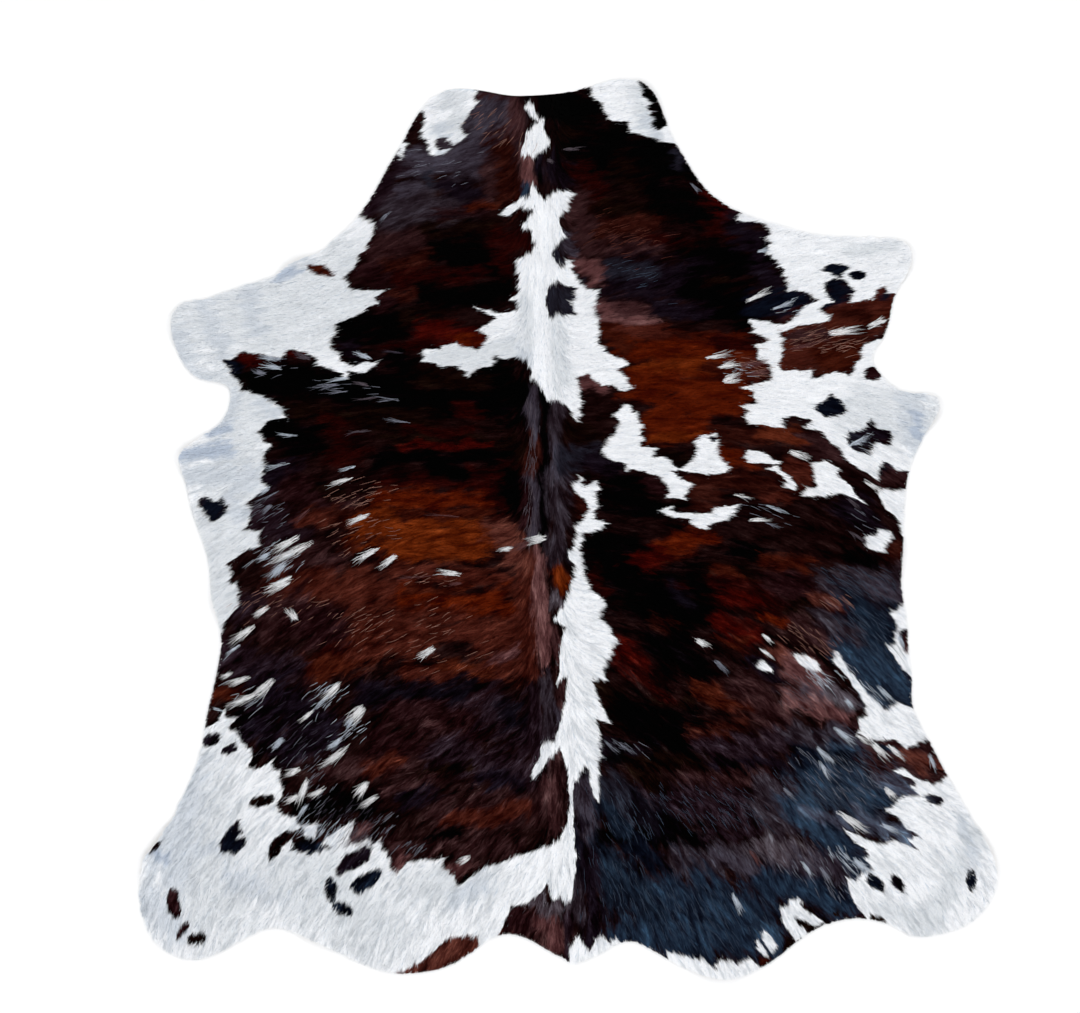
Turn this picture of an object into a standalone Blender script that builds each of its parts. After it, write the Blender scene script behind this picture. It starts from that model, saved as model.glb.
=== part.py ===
"""A cowhide rug: one whole hide with its hair on, laid out flat on the floor.

Metres, +Z up, +Y towards the neck and +X towards the right foreleg as seen from above.
The origin is on the floor, under the middle of the hide's box.
"""

from collections import namedtuple
from math import ceil, cos, pi, sin

import bmesh
import bpy
from mathutils import Vector
from mathutils.geometry import interpolate_bezier

CM = 0.01
MM = 0.001

# Driving dimensions
HIDE_LENGTH = 2.165  # neck edge to the lowest point of the hind end
HIDE_WIDTH = 2.062  # left hind leg to right hind leg
HIDE_THICKNESS = 5.0 * MM  # 2 mm of leather under 3 mm of lying hair
RIM_SLOPE = 3.5 * MM  # how far the hair draws in from the cut edge to its full height
PILE_UNEVENNESS = 0.5 * MM
FLAT_ANGLE = 0.001  # faces of the underside that turn less than this are one

OUTLINE_STEP = 34 * MM  # longest straight run along the cut edge
OUTLINE_TURN = pi / 13.0  # most that the edge turns from one straight run to the next
COARSE_CELL = 51 * MM  # cells of the open sheet
FINE_CELL = 13 * MM  # cells across the spine and the loin creases
SHEET_MARGIN = 40 * MM  # how far the untrimmed sheet passes the outline

HIDE_COLOUR = (0.085, 0.040, 0.028, 1.0)
HIDE_ROUGHNESS = 0.55

# The cut edge in centimetres from the origin, clockwise from the neck's left corner.
# A smooth curve joins the places, so each stretch holds only those that shape it.
Place = namedtuple("Place", "across up")
OUTLINE = {
    "neck": [
        Place(-35.5, 100.5), Place(-30.0, 105.7), Place(-23.0, 106.2), Place(-13.5, 104.6),
        Place(-5.0, 104.9), Place(4.0, 106.1), Place(8.0, 107.7), Place(14.5, 108.25),
        Place(18.5, 106.9), Place(21.5, 103.5), Place(23.5, 98.5), Place(25.2, 94.3),
    ],
    "right shoulder": [
        Place(29.0, 87.6), Place(32.0, 83.0), Place(36.0, 79.0), Place(42.0, 75.8),
        Place(50.0, 73.2), Place(61.0, 70.6), Place(74.0, 70.4), Place(80.0, 69.4),
    ],
    "right foreleg": [
        Place(82.6, 67.2), Place(82.6, 64.0), Place(80.7, 59.5), Place(78.5, 56.0),
        Place(76.9, 48.0), Place(74.7, 44.0), Place(73.1, 41.5), Place(74.6, 37.8),
    ],
    "right belly flap": [
        Place(78.0, 34.3), Place(82.5, 33.0), Place(87.0, 32.8), Place(89.6, 30.5),
        Place(88.5, 27.0), Place(85.0, 21.0), Place(81.9, 13.2),
    ],
    "right flank": [
        Place(81.1, 6.0), Place(80.6, -4.0), Place(80.2, -14.5), Place(81.4, -20.5),
        Place(82.0, -30.0), Place(82.8, -36.0), Place(82.9, -43.0),
    ],
    "right hind leg": [
        Place(86.0, -49.2), Place(89.8, -56.5), Place(95.5, -66.5), Place(100.0, -74.0),
        Place(103.1, -81.5), Place(102.6, -87.5), Place(99.1, -92.9), Place(94.0, -96.2),
        Place(86.0, -98.0), Place(82.0, -97.7), Place(77.5, -95.0), Place(70.0, -93.5),
    ],
    "right of the tail": [
        Place(62.5, -94.8), Place(57.0, -97.7), Place(51.0, -102.5), Place(46.5, -105.5),
        Place(39.8, -108.25), Place(33.0, -107.3), Place(27.0, -105.0), Place(20.0, -101.0),
        Place(15.0, -98.9), Place(10.5, -100.5), Place(6.0, -103.2),
    ],
    "tail": [Place(2.6, -104.0), Place(1.3, -105.4), Place(0.3, -103.8)],
    "left of the tail": [
        Place(-4.0, -101.8), Place(-10.0, -98.3), Place(-15.0, -97.2), Place(-19.5, -98.9),
        Place(-25.0, -103.0), Place(-31.0, -105.8), Place(-41.5, -106.8), Place(-49.0, -104.8),
        Place(-57.0, -101.0), Place(-65.0, -97.3), Place(-71.5, -95.8),
    ],
    "left hind leg": [
        Place(-77.0, -98.0), Place(-83.0, -101.3), Place(-90.0, -103.8), Place(-96.0, -102.0),
        Place(-100.5, -97.8), Place(-103.1, -90.0), Place(-102.7, -81.5), Place(-101.3, -77.6),
        Place(-97.5, -73.0),
    ],
    "left flank": [
        Place(-91.5, -61.7), Place(-88.6, -54.2), Place(-87.0, -45.5), Place(-84.2, -33.0),
        Place(-83.4, -26.0), Place(-85.9, -15.8), Place(-86.5, -8.0), Place(-88.5, -1.5),
        Place(-90.6, 4.0), Place(-92.0, 11.0), Place(-93.8, 16.8), Place(-92.0, 19.5),
    ],
    "left bay": [
        Place(-87.0, 23.0), Place(-83.6, 25.2), Place(-81.7, 29.0), Place(-81.3, 33.6),
        Place(-84.0, 35.2), Place(-88.5, 35.8),
    ],
    "left foreleg": [
        Place(-92.3, 39.2), Place(-95.0, 45.2), Place(-95.3, 51.5), Place(-92.3, 54.6),
        Place(-85.5, 56.0), Place(-78.5, 58.6), Place(-70.0, 61.1), Place(-66.0, 64.3),
        Place(-60.0, 66.7),
    ],
    "left shoulder": [
        Place(-55.4, 70.3), Place(-50.5, 75.0), Place(-46.5, 81.0), Place(-43.0, 87.5),
        Place(-40.5, 91.5),
    ],
}

# The backbone's line, in centimetres: it wanders to the right towards the tail.
SPINE = [
    Place(-6.7, 112.0), Place(-6.2, 79.0), Place(-6.0, 10.0), Place(-5.0, -22.0),
    Place(-3.6, -45.0), Place(-0.6, -68.0), Place(1.0, -112.0),
]

# Ridges beside the backbone, whose trough is the dark line down the hide's middle.
# beside and half_width in centimetres, height in millimetres, from and to along +Y.
SpineRidge = namedtuple("SpineRidge", "beside half_width height lower upper fade")
SPINE_RIDGES = [
    SpineRidge(beside=-2.7, half_width=2.9, height=6.5, lower=-42.0, upper=112.0, fade=22.0),
    SpineRidge(beside=2.9, half_width=3.2, height=5.5, lower=-12.0, upper=62.0, fade=16.0),
    SpineRidge(beside=1.8, half_width=2.8, height=3.0, lower=-112.0, upper=-40.0, fade=20.0),
]

# Folds of the open sheet, centimetres but for the height in millimetres. A trough is two lips
# with a valley of width gap between them, and a ridge has no gap. open_end is the end that runs
# out over the cut edge, where the sheet stays lifted.
Fold = namedtuple("Fold", "start end gap half_width height fade open_end")
FOLDS = {
    "loin crease, inner": Fold((5.0, -54.6), (31.0, -55.2), 4.4, 3.4, 4.5, 6.0, False),
    "loin crease, middle": Fold((28.0, -55.9), (58.0, -57.0), 4.4, 3.2, 3.2, 8.0, False),
    "loin crease, outer": Fold((54.0, -56.4), (82.0, -55.0), 4.4, 3.4, 4.8, 7.0, False),
    "rump crease": Fold((6.0, -74.8), (56.0, -73.4), 5.0, 3.8, 5.2, 9.0, False),
    "shoulder swell": Fold((6.0, 51.0), (34.0, 53.5), 0.0, 7.0, 4.0, 9.0, False),
    "foreleg seam": Fold((-54.0, 43.0), (-82.0, 44.8), 0.0, 5.5, 4.0, 8.0, False),
    "left shoulder ripple": Fold((-58.0, 55.0), (-67.5, 66.0), 0.0, 6.0, 11.0, 9.0, True),
    "left foreleg ripple": Fold((-82.0, 50.0), (-97.0, 48.5), 0.0, 6.5, 7.0, 10.0, True),
    "left belly ripple": Fold((-80.0, 17.0), (-95.0, 18.5), 0.0, 7.0, 10.0, 11.0, True),
    "left flank ripple": Fold((-72.0, -17.0), (-87.5, -18.5), 0.0, 6.5, 6.0, 10.0, True),
    "left hind ripple": Fold((-86.0, -70.0), (-104.0, -79.0), 0.0, 7.5, 9.0, 12.0, True),
    "left rump ripple": Fold((-57.0, -84.0), (-62.0, -101.0), 0.0, 7.0, 6.0, 12.0, True),
    "tail ripple": Fold((30.0, -92.0), (37.0, -110.0), 0.0, 7.5, 7.0, 13.0, True),
    "right hind ripple": Fold((84.0, -73.0), (104.0, -79.5), 0.0, 7.0, 9.0, 13.0, True),
    "right flank ripple": Fold((70.0, -7.0), (83.0, -6.0), 0.0, 6.5, 6.0, 9.0, True),
    "right belly ripple": Fold((74.0, 27.0), (91.5, 29.0), 0.0, 6.0, 10.0, 12.0, True),
    "right foreleg ripple": Fold((70.0, 61.0), (85.0, 66.0), 0.0, 6.5, 8.0, 10.0, True),
    "neck ripple": Fold((17.0, 92.0), (19.0, 110.0), 0.0, 6.5, 6.0, 12.0, True),
}

# Where rows and columns of cells lie close, in centimetres.
FINE_ROWS = [(-79.5, -69.0), (-61.0, -50.0)]  # along the rump crease and the loin crease
FINE_COLUMNS = [(-6.5, 7.5)]  # beside the backbone

# Broad waves in how full the hair lies: radians a centimetre each way, and each one's share.
Wave = namedtuple("Wave", "across up start share")
PILE_WAVES = [
    Wave(across=0.11, up=0.07, start=0.0, share=0.35),
    Wave(across=0.05, up=-0.13, start=1.0, share=0.35),
    Wave(across=0.23, up=0.19, start=0.6, share=0.3),
]


def soft_step(value):
    """0 below 0, 1 above 1, and a smooth rise between."""
    value = min(1.0, max(0.0, value))
    return value * value * (3.0 - 2.0 * value)


def hump(distance, half_width):
    """A smooth hump, 1 on its line and 0 from half_width outwards."""
    if abs(distance) >= half_width:
        return 0.0
    return 0.5 + 0.5 * cos(pi * distance / half_width)


def spine_at(up):
    """How far across the backbone lies at this height, all in centimetres."""
    for above, below in zip(SPINE, SPINE[1:]):
        if up >= below.up:
            share = soft_step((above.up - up) / (above.up - below.up))
            return above.across + share * (below.across - above.across)
    return SPINE[-1].across


def spine_lift(across, up):
    """Height of the ridges beside the backbone, in millimetres."""
    beside = across - spine_at(up)
    lift = 0.0
    for ridge in SPINE_RIDGES:
        ends = soft_step((up - ridge.lower) / ridge.fade) * soft_step((ridge.upper - up) / ridge.fade)
        lift = max(lift, ends * ridge.height * hump(beside - ridge.beside, ridge.half_width))
    return lift


def fold_lift(fold, across, up):
    """Height of one fold, in millimetres."""
    start = Vector(fold.start)
    along = Vector(fold.end) - start
    reach = along.length
    along.normalize()
    offset = Vector((across, up)) - start
    run = offset.dot(along)
    aside = offset.dot(Vector((-along.y, along.x)))
    ends = soft_step(run / fold.fade)
    if not fold.open_end:
        ends *= soft_step((reach - run) / fold.fade)
    lips = {-0.5 * fold.gap, 0.5 * fold.gap}
    return ends * fold.height * max(hump(aside - lip, fold.half_width) for lip in lips)


def lift_at(across, up):
    """Height of the leather above the floor, in millimetres, from all folds."""
    folds = sum(fold_lift(fold, across, up) for fold in FOLDS.values())
    return max(spine_lift(across, up), folds)


def pile_at(across, up):
    """How much fuller or thinner the hair lies here, as a share of the unevenness."""
    return sum(w.share * sin(w.across * across + w.up * up + w.start) for w in PILE_WAVES)


def outline_points():
    """The closed cut edge, in metres, as a smooth curve through its places."""
    places = [Vector(place) * CM for stretch in OUTLINE.values() for place in stretch]
    count = len(places)
    points = []
    for i, here in enumerate(places):
        after = places[(i + 1) % count]
        run = (after - here).length
        leave = (after - places[i - 1]).normalized() * run / 3.0
        arrive = (places[(i + 2) % count] - here).normalized() * run / 3.0
        steps = ceil(max(run / OUTLINE_STEP, leave.angle(arrive) / OUTLINE_TURN))
        points += interpolate_bezier(here, here + leave, after - arrive, after, steps + 1)[:-1]
    return points


def fitted_outline():
    """The cut edge moved and stretched so that its box has exactly the driving sizes."""
    points = outline_points()
    low = Vector(min(p[axis] for p in points) for axis in (0, 1))
    high = Vector(max(p[axis] for p in points) for axis in (0, 1))
    middle = (low + high) / 2.0
    size = high - low
    return [
        Vector(((p.x - middle.x) * HIDE_WIDTH / size.x, (p.y - middle.y) * HIDE_LENGTH / size.y))
        for p in points
    ]


def stations(low, high, fine_zones):
    """Places of the sheet's rows or columns, closer together inside the fine zones."""
    places = [low]
    while places[-1] < high:
        at = places[-1]
        fine = any(start * CM <= at < end * CM for start, end in fine_zones)
        nearest = min((start * CM - at for start, _ in fine_zones if start * CM > at), default=high)
        places.append(at + (FINE_CELL if fine else max(FINE_CELL, min(COARSE_CELL, nearest))))
    return places


def flat_sheet():
    """The untrimmed sheet, a slab of full thickness whose columns follow the backbone."""
    half_width = HIDE_WIDTH / 2.0 + SHEET_MARGIN
    half_length = HIDE_LENGTH / 2.0 + SHEET_MARGIN
    reach = half_width + max(abs(place.across) for place in SPINE) * CM
    columns = stations(-reach, reach, FINE_COLUMNS)
    rows = stations(-half_length, half_length, FINE_ROWS)
    across_cells = len(columns) - 1
    up_cells = len(rows) - 1

    sheet = bmesh.new()
    bmesh.ops.create_grid(sheet, x_segments=across_cells, y_segments=up_cells, size=1.0)
    for vert in sheet.verts:
        column = round((vert.co.x + 1.0) / 2.0 * across_cells)
        row = round((vert.co.y + 1.0) / 2.0 * up_cells)
        up = rows[row]
        vert.co = (columns[column] + spine_at(up / CM) * CM, up, 0.0)
    raised = bmesh.ops.extrude_face_region(sheet, geom=sheet.faces[:])
    top = [item for item in raised["geom"] if isinstance(item, bmesh.types.BMVert)]
    bmesh.ops.translate(sheet, verts=top, vec=(0.0, 0.0, HIDE_THICKNESS))
    bmesh.ops.recalc_face_normals(sheet, faces=sheet.faces)
    return object_from(sheet, "sheet")


def trimmer():
    """The hide's outline as a block whose walls lean in towards the top."""
    lean = RIM_SLOPE / HIDE_THICKNESS
    spare = 1.0 * MM  # above and below the sheet
    block = bmesh.new()
    floor = block.faces.new([block.verts.new((*point, -spare)) for point in fitted_outline()])
    floor.normal_update()
    if floor.normal.z > 0.0:
        floor.normal_flip()
    raised = bmesh.ops.extrude_face_region(block, geom=[floor], use_keep_orig=True)
    roof = next(item for item in raised["geom"] if isinstance(item, bmesh.types.BMFace))
    height = HIDE_THICKNESS + 2.0 * spare
    bmesh.ops.translate(block, verts=roof.verts, vec=(0.0, 0.0, height))
    bmesh.ops.recalc_face_normals(block, faces=block.faces)
    draw_in(roof, height * lean)
    return object_from(block, "trimmer")


def draw_in(face, distance):
    """Move a flat face's corners towards its inside, square to its edges."""
    loops = list(face.loops)
    moved = []
    for loop in loops:
        before = (loop.vert.co - loop.link_loop_prev.vert.co).normalized()
        after = (loop.link_loop_next.vert.co - loop.vert.co).normalized()
        along = (before + after).normalized()
        moved.append(loop.vert.co + face.normal.cross(along) * distance)
    for loop, place in zip(loops, moved):
        loop.vert.co = place


def object_from(mesh_edit, name):
    """A new object in the scene from an edited mesh."""
    mesh = bpy.data.meshes.new(name)
    mesh_edit.to_mesh(mesh)
    mesh_edit.free()
    made = bpy.data.objects.new(name, mesh)
    bpy.context.collection.objects.link(made)
    return made


def trimmed_sheet():
    """The flat sheet cut to the hide's outline, as an edited mesh."""
    sheet = flat_sheet()
    block = trimmer()
    cut = sheet.modifiers.new("trim", "BOOLEAN")
    cut.operation = "INTERSECT"
    cut.solver = "EXACT"
    cut.object = block
    view = bpy.context.evaluated_depsgraph_get()
    trimmed = bmesh.new()
    trimmed.from_object(sheet, view)
    bpy.data.objects.remove(sheet)
    bpy.data.objects.remove(block)
    return trimmed


def hide_material():
    material = bpy.data.materials.new("hide")
    material.use_nodes = True
    surface = material.node_tree.nodes["Principled BSDF"]
    surface.inputs["Base Color"].default_value = HIDE_COLOUR
    surface.inputs["Roughness"].default_value = HIDE_ROUGHNESS
    surface.inputs["Metallic"].default_value = 0.0
    return material


def make_hide():
    """The hide: trimmed flat, then lifted along its folds with the leather flat on the floor between."""
    hide = trimmed_sheet()
    bmesh.ops.triangulate(hide, faces=hide.faces)
    for vert in hide.verts:
        across, up = vert.co.x / CM, vert.co.y / CM
        share = vert.co.z / HIDE_THICKNESS
        uneven = share * PILE_UNEVENNESS * pile_at(across, up)
        vert.co.z += lift_at(across, up) * MM + uneven
    join_flat_floor(hide)
    made = object_from(hide, "hide")
    made.data.materials.append(hide_material())
    made.data.shade_smooth()
    made.data.set_sharp_from_angle(angle=pi / 6.0)
    return made


def join_flat_floor(hide):
    """Merge the triangles of the underside that lie on the floor into plain faces."""
    on_floor = 0.001 * MM
    flat = {face for face in hide.faces if all(abs(v.co.z) < on_floor for v in face.verts)}
    edges = {edge for face in flat for edge in face.edges}
    inner = [edge for edge in edges if all(face in flat for face in edge.link_faces)]
    bmesh.ops.dissolve_limit(hide, angle_limit=FLAT_ANGLE, edges=inner, verts=[])


def main():
    for old in list(bpy.data.objects):
        bpy.data.objects.remove(old)
    make_hide()


main()
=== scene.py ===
from math import pi, radians

import bmesh
import bpy
import numpy as np
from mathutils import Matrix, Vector
from mathutils.bvhtree import BVHTree


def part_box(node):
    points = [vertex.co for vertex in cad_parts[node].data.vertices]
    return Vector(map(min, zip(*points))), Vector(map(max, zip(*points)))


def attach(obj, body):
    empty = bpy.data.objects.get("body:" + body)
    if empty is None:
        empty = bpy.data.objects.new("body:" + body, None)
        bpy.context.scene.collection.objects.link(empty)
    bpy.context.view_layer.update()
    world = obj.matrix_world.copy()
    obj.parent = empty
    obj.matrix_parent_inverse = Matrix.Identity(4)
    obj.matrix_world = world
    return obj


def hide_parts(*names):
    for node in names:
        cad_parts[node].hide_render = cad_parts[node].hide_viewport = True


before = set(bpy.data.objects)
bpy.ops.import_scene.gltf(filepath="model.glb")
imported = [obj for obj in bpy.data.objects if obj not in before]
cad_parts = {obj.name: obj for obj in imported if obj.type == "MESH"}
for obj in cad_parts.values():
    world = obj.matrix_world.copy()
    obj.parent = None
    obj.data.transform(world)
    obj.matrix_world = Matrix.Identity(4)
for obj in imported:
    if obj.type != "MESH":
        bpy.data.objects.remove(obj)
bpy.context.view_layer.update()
print("frame loaded")

mm = 0.001

# The coat's markings were read off the photograph, in its own steps, across and down.
chartStep = 2.4 * mm        # real size of one step
chartMiddle = (568, 529)    # the step that lies over the frame's origin


def toChart(x, y):
    return x / chartStep + chartMiddle[0], chartMiddle[1] - y / chartStep


# colours of the hair, as they show on a screen, 0 to 255. Most of the bluish and grey darks among them,
# such as slate, petrol, steel, shale, fog and ash, stand for painted sheen of the glossy hair; cloud, haze
# and mist stand for painted shade of the white
hairTones = {
    "ink": (4, 2, 3), "umber": (17, 7, 5), "soot": (24, 10, 10), "wine": (33, 6, 5), "maroon": (34, 15, 17),
    "mahogany": (44, 16, 12), "chestnut": (58, 20, 12), "crimson": (56, 9, 6), "rust": (76, 22, 7),
    "amber": (96, 36, 12), "sienna": (86, 36, 22), "russet": (68, 28, 21), "cocoa": (48, 27, 28),
    "mauve": (66, 40, 41), "fawn": (88, 46, 38), "rose": (92, 58, 58), "blush": (108, 72, 71),
    "sloe": (15, 11, 17), "plum": (20, 13, 20), "fig": (33, 21, 27), "iron": (33, 32, 41),
    "ash": (50, 42, 49), "navy": (12, 15, 25), "slate": (24, 32, 45), "petrol": (31, 43, 60),
    "steel": (38, 52, 70), "fog": (60, 54, 64), "shale": (76, 82, 99), "pewter": (84, 75, 82),
    "snow": (243, 243, 244), "white": (237, 237, 238), "cloud": (219, 221, 223), "haze": (207, 211, 216),
    "mist": (182, 191, 204), "dusk": (150, 161, 178), "frost": (186, 195, 207), "smoke": (120, 122, 134),
    "flax": (146, 106, 94), "flint": (58, 68, 84),
}
groundTone = "soot"
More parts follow.
